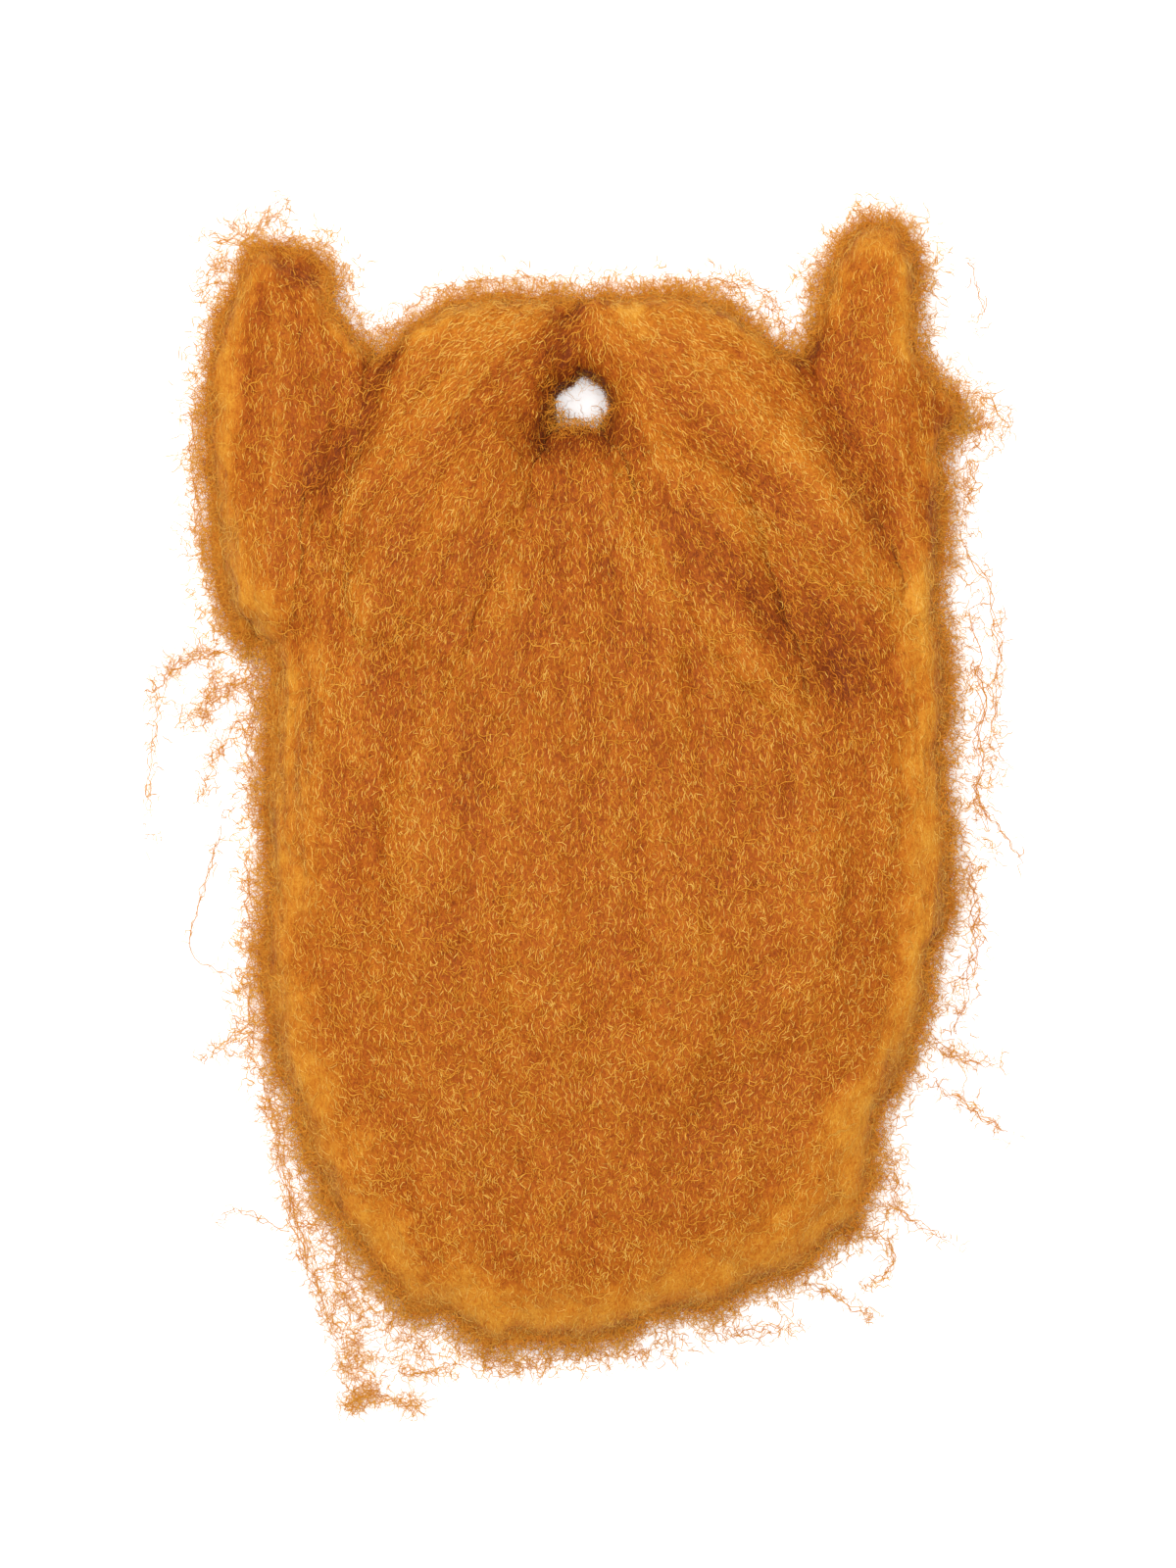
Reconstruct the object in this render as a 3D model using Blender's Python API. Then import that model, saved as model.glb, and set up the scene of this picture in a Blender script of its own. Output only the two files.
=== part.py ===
"""A false beard of teased crepe fibre, lying on its back with its face up.

It runs with blender --background --python part.py, or from Blender's text editor. Units are metres
and +Z is up. The beard is looked at from above: +X is to the right and +Y runs from the chin's tip
to the ears. The origin is on the floor, under the middle of the beard's footprint.

Left and right are those of someone who looks at the beard. The tables give places as shares:
across is 0 in the middle and 1 at half the width, and up is 0 at the chin's tip and 1 at the top
of the taller sideburn. A crown is the height of a face, as a share of the depth of its piece.
"""

import math
from collections import namedtuple

import bmesh
import bpy
import numpy as np
from mathutils import Vector

# Overall sizes
LENGTH = 0.378
WIDTH = 0.257

# Depths of the pieces, from the floor to their faces
CHIN_DEPTH = 0.044
SIDEBURN_DEPTH = 0.027
MOUSTACHE_DEPTH = 0.030

# The pad: the height at which it is widest, how far its round underside would go below the floor, and the
# powers that make its section fuller than an oval to the sides and upwards
EDGE_HEIGHT = 0.009
UNDERCUT = 0.010
SIDE_POWER = 0.85
RISE_POWER = 0.75

# Locks: how far each kind stands out of the pad's face and goes into it, and the widths in the tables' shares
LOCK_RISE = 0.0045
MOUSTACHE_RISE = 0.0085
LOCK_BED = 0.012
CHIN_LOCK_WIDTH = 0.028
SIDEBURN_LOCK_WIDTH = 0.024
MOUSTACHE_LOCK_WIDTH = 0.030

# The form of a lock: its root's share of the full section, where along it the section is full, and the powers
# that round its tip in plan and keep the tip deep
ROOT_SHARE = 0.60
FULL_FROM = 0.30
TIP_POWER = 2.6
DEPTH_POWER = 0.7
LEAST_SHARE = 0.10

# The round hood over the top of each sideburn
HOOD_WIDTH = 0.039
HOOD_HEIGHT = 0.058

# The mouth opening, with the place of its middle, and the dimple in the left sideburn's hood
MOUTH_WIDTH = 0.021
MOUTH_HEIGHT = 0.018
MOUTH_ACROSS = -0.005
MOUTH_UP = 0.838
DIMPLE_WIDTH = 0.018
DIMPLE_DEPTH = 0.009
DIMPLE_ACROSS = -0.730
DIMPLE_UP = 0.945

# The seam between the moustache's halves, and the gap between pieces that are felted together
SEAM_ACROSS = -0.030
SEAM_GAP = 0.0004
SEAT_GAP = 0.0005

# Facets
PAD_ROWS = 20
PAD_SIDES = 24
LOCK_RINGS = 9
LOCK_SIDES = 8
HOOD_SIDES = 20
OPENING_SIDES = 14
HEADING_STEP = 0.02
CREASE_ANGLE = math.radians(50)

COLLECTION = "fake_beard"
BEYOND = 2 * (LENGTH + WIDTH)

# Locks that graze each other's facets make the exact solver drop whole bodies. Every operand here is closed.
SOLVER = "MANIFOLD"

PadRow = namedtuple("PadRow", "up left right crown")
Place = namedtuple("Place", "across up crown")
Lock = namedtuple("Lock", "width route")

# Outline and crown of the pad that carries the chin's locks, from the chin's tip to the cheeks
CHIN_PAD = (
    PadRow(0.020, -0.20, 0.06, 0.30),
    PadRow(0.050, -0.34, 0.34, 0.46),
    PadRow(0.095, -0.47, 0.58, 0.62),
    PadRow(0.160, -0.60, 0.68, 0.76),
    PadRow(0.235, -0.72, 0.76, 0.88),
    PadRow(0.310, -0.79, 0.84, 0.95),
    PadRow(0.420, -0.80, 0.92, 1.00),
    PadRow(0.540, -0.77, 0.92, 1.00),
    PadRow(0.640, -0.82, 0.91, 0.96),
    PadRow(0.725, -0.87, 0.89, 0.88),
    PadRow(0.785, -0.76, 0.78, 0.74),
    PadRow(0.820, -0.50, 0.52, 0.52),
)

# Locks of the chin: down the left edge, along the ragged lower end, up the right edge, then over the face
CHIN_LOCKS = (
    Lock(0.72, (Place(-0.71, 0.700, 0.0), Place(-0.76, 0.540, 1.0), Place(-0.80, 0.400, 0.7))),
    Lock(0.72, (Place(-0.70, 0.500, 0.0), Place(-0.77, 0.360, 1.0), Place(-0.75, 0.220, 0.7))),
    Lock(0.80, (Place(-0.62, 0.360, 0.0), Place(-0.68, 0.230, 1.0), Place(-0.56, 0.090, 0.7))),
    Lock(1.00, (Place(-0.48, 0.290, 0.0), Place(-0.52, 0.150, 1.0), Place(-0.39, 0.025, 0.7))),
    Lock(0.95, (Place(-0.31, 0.260, 0.0), Place(-0.32, 0.120, 1.0), Place(-0.22, -0.004, 0.7))),
    Lock(1.00, (Place(-0.10, 0.240, 0.0), Place(-0.07, 0.110, 1.0), Place(-0.03, 0.002, 0.7))),
    Lock(0.85, (Place(0.10, 0.240, 0.0), Place(0.13, 0.110, 1.0), Place(0.14, 0.020, 0.7))),
    Lock(1.00, (Place(0.29, 0.270, 0.0), Place(0.34, 0.140, 1.0), Place(0.32, 0.032, 0.7))),
    Lock(1.00, (Place(0.46, 0.300, 0.0), Place(0.53, 0.170, 1.0), Place(0.54, 0.060, 0.7))),
    Lock(1.00, (Place(0.58, 0.370, 0.0), Place(0.66, 0.230, 1.0), Place(0.70, 0.095, 0.7))),
    Lock(0.85, (Place(0.70, 0.490, 0.0), Place(0.82, 0.360, 1.0), Place(0.80, 0.220, 0.7))),
    Lock(0.72, (Place(0.79, 0.640, 0.0), Place(0.88, 0.500, 1.0), Place(0.94, 0.360, 0.7))),
    Lock(0.70, (Place(0.79, 0.740, 0.0), Place(0.87, 0.640, 1.0), Place(0.94, 0.540, 0.7))),
    Lock(1.05, (Place(-0.09, 0.800, 0.0), Place(-0.19, 0.650, 1.0), Place(-0.31, 0.490, 0.3))),
    Lock(1.05, (Place(0.00, 0.800, 0.0), Place(-0.03, 0.630, 1.0), Place(-0.06, 0.420, 0.3))),
    Lock(1.05, (Place(0.07, 0.800, 0.0), Place(0.15, 0.640, 1.0), Place(0.20, 0.440, 0.3))),
    Lock(1.15, (Place(-0.34, 0.600, 0.0), Place(-0.39, 0.420, 1.0), Place(-0.41, 0.250, 0.3))),
    Lock(1.15, (Place(-0.09, 0.500, 0.0), Place(-0.11, 0.340, 1.0), Place(-0.14, 0.180, 0.3))),
    Lock(1.15, (Place(0.21, 0.500, 0.0), Place(0.23, 0.330, 1.0), Place(0.23, 0.180, 0.3))),
    Lock(1.10, (Place(0.50, 0.540, 0.0), Place(0.55, 0.390, 1.0), Place(0.50, 0.230, 0.3))),
    Lock(1.05, (Place(-0.56, 0.660, 0.0), Place(-0.61, 0.490, 1.0), Place(-0.61, 0.330, 0.3))),)

# Each sideburn: the middle of its hood, then its inner, middle and outer bundles down the cheek and a tuft
HOOD_LEFT = Place(-0.765, 0.902, 1.00)
HOOD_RIGHT = Place(0.742, 0.924, 1.00)
SIDEBURN_LEFT = (
    Lock(1.20, (Place(-0.700, 0.940, 0.80), Place(-0.640, 0.885, 0.94), Place(-0.580, 0.825, 0.96),
                Place(-0.590, 0.750, 0.80), Place(-0.625, 0.670, 0.40))),
    Lock(1.35, (Place(-0.770, 0.935, 0.90), Place(-0.785, 0.855, 1.00), Place(-0.780, 0.770, 0.98),
                Place(-0.760, 0.690, 0.80), Place(-0.755, 0.610, 0.50))),
    Lock(0.95, (Place(-0.790, 0.945, 0.80), Place(-0.880, 0.895, 0.80), Place(-0.915, 0.815, 0.76),
                Place(-0.895, 0.715, 0.70), Place(-0.850, 0.600, 0.50))),
)
SIDEBURN_RIGHT = (
    Lock(1.10, (Place(0.680, 0.950, 0.84), Place(0.650, 0.890, 0.96), Place(0.625, 0.830, 0.98),
                Place(0.670, 0.760, 0.80), Place(0.730, 0.680, 0.40))),
    Lock(1.40, (Place(0.750, 0.955, 0.92), Place(0.755, 0.880, 1.00), Place(0.780, 0.790, 1.00),
                Place(0.810, 0.710, 0.85), Place(0.830, 0.620, 0.50))),
    Lock(0.90, (Place(0.790, 0.955, 0.86), Place(0.800, 0.890, 0.84), Place(0.850, 0.800, 0.82),
                Place(0.875, 0.710, 0.75), Place(0.880, 0.600, 0.50))),
    Lock(0.85, (Place(0.800, 0.870, 0.70), Place(0.900, 0.845, 0.66), Place(0.990, 0.804, 0.50))),
)

# Each half of the moustache: its upper, middle and drooping lower bundle, from the seam outwards
MOUSTACHE_LEFT = (
    Lock(1.00, (Place(0.010, 0.891, 0.94), Place(-0.200, 0.895, 1.00), Place(-0.400, 0.874, 0.98),
                Place(-0.535, 0.800, 0.90), Place(-0.630, 0.710, 0.60))),
    Lock(1.35, (Place(0.010, 0.885, 0.92), Place(-0.190, 0.862, 1.00), Place(-0.350, 0.800, 1.00),
                Place(-0.460, 0.710, 0.90), Place(-0.540, 0.600, 0.50))),
    Lock(1.15, (Place(-0.030, 0.875, 0.90), Place(-0.165, 0.828, 1.00), Place(-0.265, 0.758, 0.95),
                Place(-0.330, 0.670, 0.75), Place(-0.380, 0.560, 0.35))),
)
MOUSTACHE_RIGHT = (
    Lock(1.02, (Place(-0.070, 0.891, 0.94), Place(0.150, 0.895, 1.00), Place(0.380, 0.878, 1.00),
                Place(0.565, 0.800, 1.00), Place(0.730, 0.695, 0.75))),
    Lock(1.20, (Place(-0.070, 0.880, 0.92), Place(0.150, 0.862, 1.00), Place(0.380, 0.800, 1.05),
                Place(0.600, 0.725, 1.05), Place(0.810, 0.655, 0.60))),
    Lock(1.10, (Place(-0.040, 0.875, 0.90), Place(0.110, 0.822, 1.00), Place(0.240, 0.740, 1.10),
                Place(0.400, 0.640, 1.10), Place(0.550, 0.545, 0.60))),
)

FIBRE_ROUGHNESS = 0.75
FIBRE_COLOURS = {
    "chin_beard": (0.540, 0.170, 0.027, 1.0),
    "sideburn_left": (0.570, 0.190, 0.030, 1.0),
    "sideburn_right": (0.570, 0.190, 0.030, 1.0),
    "moustache_left": (0.600, 0.215, 0.036, 1.0),
    "moustache_right": (0.600, 0.215, 0.036, 1.0),
}


def clear_scene():
    """Removes every object of the scene."""
    for thing in list(bpy.data.objects):
        bpy.data.objects.remove(thing, do_unlink=True)


def smooth_rows(stations, values, at):
    """Cubic through a table's rows, with slopes from the neighbouring rows, held flat beyond the ends."""
    stations = np.asarray(stations, float)
    values = np.asarray(values, float)
    slopes = np.gradient(values, stations)
    i = int(np.clip(np.searchsorted(stations, at) - 1, 0, len(stations) - 2))
    span = stations[i + 1] - stations[i]
    t = min(max((at - stations[i]) / span, 0.0), 1.0)
    start = (2 * t**3 - 3 * t**2 + 1) * values[i] + (t**3 - 2 * t**2 + t) * span * slopes[i]
    end = (3 * t**2 - 2 * t**3) * values[i + 1] + (t**3 - t**2) * span * slopes[i + 1]
    return float(start + end)


def pad_row(up):
    """Left edge, right edge and crown height of the pad at a share of the length, in metres."""
    stations = [row.up for row in CHIN_PAD]
    left = smooth_rows(stations, [row.left for row in CHIN_PAD], up) * WIDTH / 2
    right = smooth_rows(stations, [row.right for row in CHIN_PAD], up) * WIDTH / 2
    crown = smooth_rows(stations, [row.crown for row in CHIN_PAD], up) * CHIN_DEPTH
    return left, right, crown


def pad_section(up):
    """Ring of the pad at a share of the length: domed above, and round below until the floor trims it."""
    left, right, crown = pad_row(up)
    ring = []
    for i in range(PAD_SIDES):
        angle = 2 * math.pi * i / PAD_SIDES
        side, rise = math.cos(angle), math.sin(angle)
        x = (left + right) / 2 + (right - left) / 2 * math.copysign(abs(side) ** SIDE_POWER, side)
        reach = (crown - EDGE_HEIGHT) if rise >= 0 else -(EDGE_HEIGHT + UNDERCUT)
        ring.append(Vector((x, up * LENGTH, EDGE_HEIGHT + reach * abs(rise) ** RISE_POWER)))
    return ring


def face_height(x, y):
    """Height of the pad's face over a point of the plan, its edge height beside it and the floor above it."""
    if y / LENGTH > CHIN_PAD[-1].up:
        return 0.0
    left, right, crown = pad_row(y / LENGTH)
    across = min(abs(2 * x - left - right) / (right - left), 1.0)
    return EDGE_HEIGHT + (crown - EDGE_HEIGHT) * (1 - across ** (2 / SIDE_POWER)) ** (RISE_POWER / 2)


def solid_from_rings(name, rings):
    """A closed solid lofted through rings of points, with a fan over each end.

    Its faces are triangles, so that a lock and the larger bed made for it fold along the same lines.
    """
    shape = bmesh.new()
    loops = [[shape.verts.new(point) for point in ring] for ring in rings]
    for near, far in zip(loops, loops[1:]):
        for i, vertex in enumerate(near):
            j = (i + 1) % len(near)
            shape.faces.new((vertex, near[j], far[j]))
            shape.faces.new((vertex, far[j], far[i]))
    for loop in (loops[0], loops[-1]):
        middle = shape.verts.new(sum((vertex.co for vertex in loop), Vector()) / len(loop))
        for i, vertex in enumerate(loop):
            shape.faces.new((vertex, loop[(i + 1) % len(loop)], middle))
    bmesh.ops.recalc_face_normals(shape, faces=shape.faces)
    mesh = bpy.data.meshes.new(name)
    shape.to_mesh(mesh)
    shape.free()
    solid = bpy.data.objects.new(name, mesh)
    bpy.context.scene.collection.objects.link(solid)
    return solid


def chin_pad():
    """The felted pad that carries the chin's locks."""
    first, last = CHIN_PAD[0].up, CHIN_PAD[-1].up
    ups = [first + (last - first) * i / (PAD_ROWS - 1) for i in range(PAD_ROWS)]
    return solid_from_rings("chin_pad", [pad_section(up) for up in ups])


def lock_taper(t):
    """Share of a lock's full width: blunt at the root, soon full, and round at the tip."""
    root = ROOT_SHARE + (1 - ROOT_SHARE) * min(t / FULL_FROM, 1.0)
    tip = (1 - (max(t - FULL_FROM, 0.0) / (1 - FULL_FROM)) ** TIP_POWER) ** 0.5
    return root * max(tip, LEAST_SHARE)


def lock_solid(lock, width, depth, rise, margin):
    """A tapering lock with an oval section.

    Over the floor its crown is at its share of the piece's depth. Over the pad it stands out of the
    pad's face by its share of the rise, and its underside is bedded in the pad. The margin makes
    the whole lock larger, for the bed that a neighbour leaves for it.
    """
    rows = []
    for place in lock.route:
        x, y = place.across * WIDTH / 2, place.up * LENGTH
        face = face_height(x, y)
        crown = max(place.crown * depth, face + place.crown * rise)
        base = face - LOCK_BED if face > 0 else -UNDERCUT
        rows.append((x, y, crown, base))
    stations = np.linspace(0.0, 1.0, len(rows))
    up = Vector((0, 0, 1))

    def at(t):
        return [smooth_rows(stations, column, t) for column in zip(*rows)]

    rings = []
    for i in range(LOCK_RINGS):
        t = i / (LOCK_RINGS - 1)
        x, y, crown, base = at(t)
        ahead, behind = at(min(t + HEADING_STEP, 1.0)), at(max(t - HEADING_STEP, 0.0))
        heading = Vector((ahead[0] - behind[0], ahead[1] - behind[1], 0)).normalized()
        sideways = heading.cross(up)
        middle = Vector((x, y, (crown + base) / 2))
        if i in (0, LOCK_RINGS - 1):
            middle += heading * margin * (2 * t - 1)
        half_width = lock_taper(t) * width * lock.width / 2 + margin
        half_depth = lock_taper(t) ** DEPTH_POWER * (crown - base) / 2 + margin
        aside, above = sideways * half_width, up * half_depth
        angles = [2 * math.pi * (k + 0.5) / LOCK_SIDES for k in range(LOCK_SIDES)]
        rings.append([middle + aside * math.cos(angle) + above * math.sin(angle) for angle in angles])
    return solid_from_rings("lock", rings)


def settle(name, solid):
    """Puts a primitive's place and size into its mesh."""
    solid.name = name
    solid.data.transform(solid.matrix_basis)
    solid.matrix_basis.identity()
    return solid


def ball(name, sides, middle, radii):
    """An ellipsoid round a point."""
    bpy.ops.mesh.primitive_uv_sphere_add(
        segments=sides, ring_count=sides // 2, radius=1, location=middle, scale=radii
    )
    return settle(name, bpy.context.active_object)


def move_to(collection, solid):
    """Puts a solid in one collection and takes it out of the others."""
    for old in list(solid.users_collection):
        old.objects.unlink(solid)
    collection.objects.link(solid)


def bake(solid):
    """Gives a solid the mesh that its modifiers make, and takes the modifiers off."""
    graph = bpy.context.evaluated_depsgraph_get()
    baked = bpy.data.meshes.new_from_object(solid.evaluated_get(graph))
    solid.modifiers.clear()
    solid.data = baked


def fuse(name, solids):
    """One solid from several that meet."""
    first, others = solids[0], solids[1:]
    group = bpy.data.collections.new(name + "_operands")
    bpy.context.scene.collection.children.link(group)
    for solid in others:
        move_to(group, solid)
    union = first.modifiers.new("union", "BOOLEAN")
    union.operation = "UNION"
    union.solver = SOLVER
    union.operand_type = "COLLECTION"
    union.collection = group
    bake(first)
    for solid in others:
        bpy.data.objects.remove(solid, do_unlink=True)
    bpy.data.collections.remove(group)
    first.name = name
    return first


def cut(solid, cutter):
    """Takes a cutter away from a solid. The cutter stays for the next cut."""
    difference = solid.modifiers.new("cut", "BOOLEAN")
    difference.operation = "DIFFERENCE"
    difference.solver = SOLVER
    difference.object = cutter
    bake(solid)


def hood(place, margin):
    """The round hood of a sideburn, from below the floor up to its crown."""
    crown, base = place.crown * SIDEBURN_DEPTH, -UNDERCUT
    return ball(
        "hood",
        HOOD_SIDES,
        (place.across * WIDTH / 2, place.up * LENGTH, (crown + base) / 2),
        (HOOD_WIDTH / 2 + margin, HOOD_HEIGHT / 2 + margin, (crown - base) / 2 + margin),
    )


def sideburn(name, hood_place, locks, margin=0.0):
    """A sideburn, or with a margin the bed for one."""
    solids = [lock_solid(lock, SIDEBURN_LOCK_WIDTH, SIDEBURN_DEPTH, LOCK_RISE, margin) for lock in locks]
    return fuse(name, [hood(hood_place, margin)] + solids)


def moustache_half(name, locks, margin=0.0):
    """Half of the moustache, or with a margin the bed for one."""
    return fuse(name, [lock_solid(lock, MOUSTACHE_LOCK_WIDTH, MOUSTACHE_DEPTH, MOUSTACHE_RISE, margin)
                       for lock in locks])


def chin_beard():
    """The pad of the chin with its locks fused to it."""
    locks = [lock_solid(lock, CHIN_LOCK_WIDTH, 0.0, LOCK_RISE, 0.0) for lock in CHIN_LOCKS]
    return fuse("chin_beard", [chin_pad()] + locks)


def box_cutter(name, low, high):
    """A box between two corners."""
    middle = [(a + b) / 2 for a, b in zip(low, high)]
    size = [b - a for a, b in zip(low, high)]
    bpy.ops.mesh.primitive_cube_add(size=1, location=middle, scale=size)
    return settle(name, bpy.context.active_object)


def floor_cutter():
    """All that lies below the floor."""
    return box_cutter("floor", (-BEYOND, -BEYOND, -BEYOND), (BEYOND, BEYOND, 0.0))


def seam_cutters():
    """All to the right of the moustache's seam, and all to its left."""
    seam = SEAM_ACROSS * WIDTH / 2
    right = box_cutter("right_of_seam", (seam - SEAM_GAP / 2, -BEYOND, -BEYOND), (BEYOND, BEYOND, BEYOND))
    left = box_cutter("left_of_seam", (-BEYOND, -BEYOND, -BEYOND), (seam + SEAM_GAP / 2, BEYOND, BEYOND))
    return right, left


def mouth_cutter():
    """The oval opening for the mouth, right through."""
    bpy.ops.mesh.primitive_cylinder_add(
        vertices=OPENING_SIDES,
        radius=0.5,
        depth=BEYOND,
        location=(MOUTH_ACROSS * WIDTH / 2, MOUTH_UP * LENGTH, 0),
        scale=(MOUTH_WIDTH, MOUTH_HEIGHT, 1),
    )
    return settle("mouth", bpy.context.active_object)


def dimple_cutter():
    """The hollow in the face of the left sideburn's hood."""
    return ball(
        "dimple",
        OPENING_SIDES,
        (DIMPLE_ACROSS * WIDTH / 2, DIMPLE_UP * LENGTH, SIDEBURN_DEPTH),
        (DIMPLE_WIDTH / 2, DIMPLE_WIDTH / 2, DIMPLE_DEPTH),
    )


def keep_largest(solid):
    """Drops the loose crumbs that a cut leaves beside a solid's main body."""
    shape = bmesh.new()
    shape.from_mesh(solid.data)
    islands, seen = [], set()
    for seed in shape.faces:
        if seed in seen:
            continue
        seen.add(seed)
        island, front = [], [seed]
        while front:
            face = front.pop()
            island.append(face)
            near = {other for edge in face.edges for other in edge.link_faces} - seen
            seen |= near
            front += near
        islands.append(island)
    main_body = max(islands, key=lambda island: sum(face.calc_area() for face in island))
    crumbs = [face for island in islands if island is not main_body for face in island]
    bmesh.ops.delete(shape, geom=crumbs, context="FACES")
    shape.to_mesh(solid.data)
    shape.free()


def centre(solids):
    """Moves the whole beard so that the origin is under the middle of its footprint."""
    corners = [vertex.co for solid in solids for vertex in solid.data.vertices]
    shift = [-(min(c[k] for c in corners) + max(c[k] for c in corners)) / 2 for k in range(2)]
    for solid in solids:
        solid.location = (shift[0], shift[1], 0.0)


def dress(solid):
    """The fibre's material, and smooth shading between the creases."""
    material = bpy.data.materials.new(solid.name + "_fibre")
    material.use_nodes = True
    finish = material.node_tree.nodes["Principled BSDF"]
    finish.inputs["Base Color"].default_value = FIBRE_COLOURS[solid.name]
    finish.inputs["Roughness"].default_value = FIBRE_ROUGHNESS
    finish.inputs["Metallic"].default_value = 0.0
    solid.data.materials.clear()
    solid.data.materials.append(material)
    solid.data.shade_smooth()
    solid.data.set_sharp_from_angle(angle=CREASE_ANGLE)


def main():
    """Makes the pieces, lets each make room for those that lie over it, and trims them at the floor."""
    clear_scene()
    floor, mouth, dimple = floor_cutter(), mouth_cutter(), dimple_cutter()
    right_of_seam, left_of_seam = seam_cutters()
    left_bed = moustache_half("moustache_left_bed", MOUSTACHE_LEFT, SEAT_GAP)
    right_bed = moustache_half("moustache_right_bed", MOUSTACHE_RIGHT, SEAT_GAP)
    left_side_bed = sideburn("sideburn_left_bed", HOOD_LEFT, SIDEBURN_LEFT, SEAT_GAP)
    right_side_bed = sideburn("sideburn_right_bed", HOOD_RIGHT, SIDEBURN_RIGHT, SEAT_GAP)
    cutters = {
        chin_beard(): (left_bed, right_bed, left_side_bed, right_side_bed, mouth, floor),
        sideburn("sideburn_left", HOOD_LEFT, SIDEBURN_LEFT): (left_bed, dimple, floor),
        sideburn("sideburn_right", HOOD_RIGHT, SIDEBURN_RIGHT): (right_bed, floor),
        moustache_half("moustache_left", MOUSTACHE_LEFT): (right_of_seam, mouth, floor),
        moustache_half("moustache_right", MOUSTACHE_RIGHT): (left_of_seam, mouth, floor),
    }
    for solid, tools in cutters.items():
        for tool in tools:
            cut(solid, tool)
        keep_largest(solid)
    for tool in {tool for tools in cutters.values() for tool in tools}:
        bpy.data.objects.remove(tool, do_unlink=True)
    centre(cutters)
    beard = bpy.data.collections.new(COLLECTION)
    bpy.context.scene.collection.children.link(beard)
    for solid in cutters:
        move_to(beard, solid)
        dress(solid)


if __name__ == "__main__":
    main()
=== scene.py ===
"""A false beard of ginger crepe fibre, laid flat and seen from straight above.

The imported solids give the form. Each is dressed with a dense fibre body, a cover of short kinked fibres,
loose hairs over the face, fuzz round the edge and the stray wisps that the floor shows through.
"""

import logging
from dataclasses import dataclass, field
from enum import Enum

import bmesh
import bpy
import numpy as np
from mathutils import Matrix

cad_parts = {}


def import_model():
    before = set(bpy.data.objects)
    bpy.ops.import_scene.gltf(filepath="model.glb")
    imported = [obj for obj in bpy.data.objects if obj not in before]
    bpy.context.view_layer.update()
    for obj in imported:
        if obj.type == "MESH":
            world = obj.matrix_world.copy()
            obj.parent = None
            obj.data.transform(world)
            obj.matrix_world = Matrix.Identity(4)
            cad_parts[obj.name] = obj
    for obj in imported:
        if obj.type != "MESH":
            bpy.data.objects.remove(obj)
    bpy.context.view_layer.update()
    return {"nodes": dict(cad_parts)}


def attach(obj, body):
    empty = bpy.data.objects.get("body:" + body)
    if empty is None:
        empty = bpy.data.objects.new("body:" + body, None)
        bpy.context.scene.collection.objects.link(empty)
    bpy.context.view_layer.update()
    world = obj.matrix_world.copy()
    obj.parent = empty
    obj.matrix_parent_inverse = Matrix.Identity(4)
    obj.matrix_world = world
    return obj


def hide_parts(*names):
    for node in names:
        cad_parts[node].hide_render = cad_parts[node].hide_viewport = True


LOG = logging.getLogger("beard")
MM = 0.001
# The middle of the mouth opening in picture pixels.
MOUTH = (595, 402)
# The low and the high corner, in metres, of the box that no fibre leaves.
FIBRE_LIMITS = ((-0.1450, -0.2100, 0.3 * MM), (0.1450, 0.2100, 0.058))


class Slot(Enum):
    """The record's material slot that a piece takes its finish from."""

    CHIN = "chin_fibre"
    MOUSTACHE = "moustache_fibre"
    SIDEBURN = "sideburn_fibre"


class Combing(Enum):
    """What a stroke does to the fibre: turns it only, or also heaps it in a ridge or parts it in a crease."""

    FLOW = 0.0
    RIDGE = 1.0
    CREASE = -1.0


def floor_point(across_px: float, down_px: float) -> tuple[float, float]:
    """Turns a place on the 1200 by 1600 picture into a place on the floor.

    Args:
        across_px: Pixels from the picture's left side.
        down_px: Pixels from the picture's top.

    Returns:
        The x and y of the same place, in metres: 0.3203 mm a pixel from the beard's middle.
    """
    return (across_px - 599.2) * 0.00032005, (807.3 - down_px) * 0.00032034


def linear(hex_colour: str) -> tuple[float, float, float, float]:
    """Turns an sRGB hex colour into linear red, green, blue and alpha.

    Args:
        hex_colour: Six hex digits after a hash sign.

    Returns:
        The linear colour: v / 12.92 below 0.04045, else ((v + 0.055) / 1.055) to the power 2.4.
    """
    values = np.array([int(hex_colour[i : i + 2], 16) for i in (1, 3, 5)]) / 255
    values = np.where(values <= 0.04045, values / 12.92, ((values + 0.055) / 1.055) ** 2.4)
    return (*values.tolist(), 1.0)


def unit(vectors: np.ndarray) -> np.ndarray:
    """Scales each vector of an array to length 1, along its last axis."""
    return vectors / np.maximum(np.linalg.norm(vectors, axis=-1, keepdims=True), 1e-9)


def smooth_step(low: float, high: float, values: np.ndarray) -> np.ndarray:
    """Rises smoothly from 0 at low to 1 at high: t squared times (3 - 2t)."""
    share = np.clip((values - low) / (high - low), 0, 1)
    return share * share * (3 - 2 * share)


def arch(share: np.ndarray) -> np.ndarray:
    """Gives the height, at a share of its span, of an arch of height 1: 4s(1 - s)."""
    return 4 * share * (1 - share)


def spans(path: np.ndarray) -> np.ndarray:
    """Gives each corner's distance from the start along a path of straight lines."""
    return np.concatenate([[0], np.cumsum(np.linalg.norm(np.diff(path, axis=0), axis=1))])


def places_along(path: np.ndarray, distances: np.ndarray) -> np.ndarray:
    """Gives the x and y, in the last axis, of the places at distances along a path."""
    return np.stack([np.interp(distances, spans(path), path[:, i]) for i in range(2)], axis=-1)


def distance_from(points: np.ndarray, across_px: float, down_px: float) -> np.ndarray:
    """Gives each point's distance over the floor from a place in picture pixels."""
    x, y = floor_point(across_px, down_px)
    return np.hypot(points[:, 0] - x, points[:, 1] - y)


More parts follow.
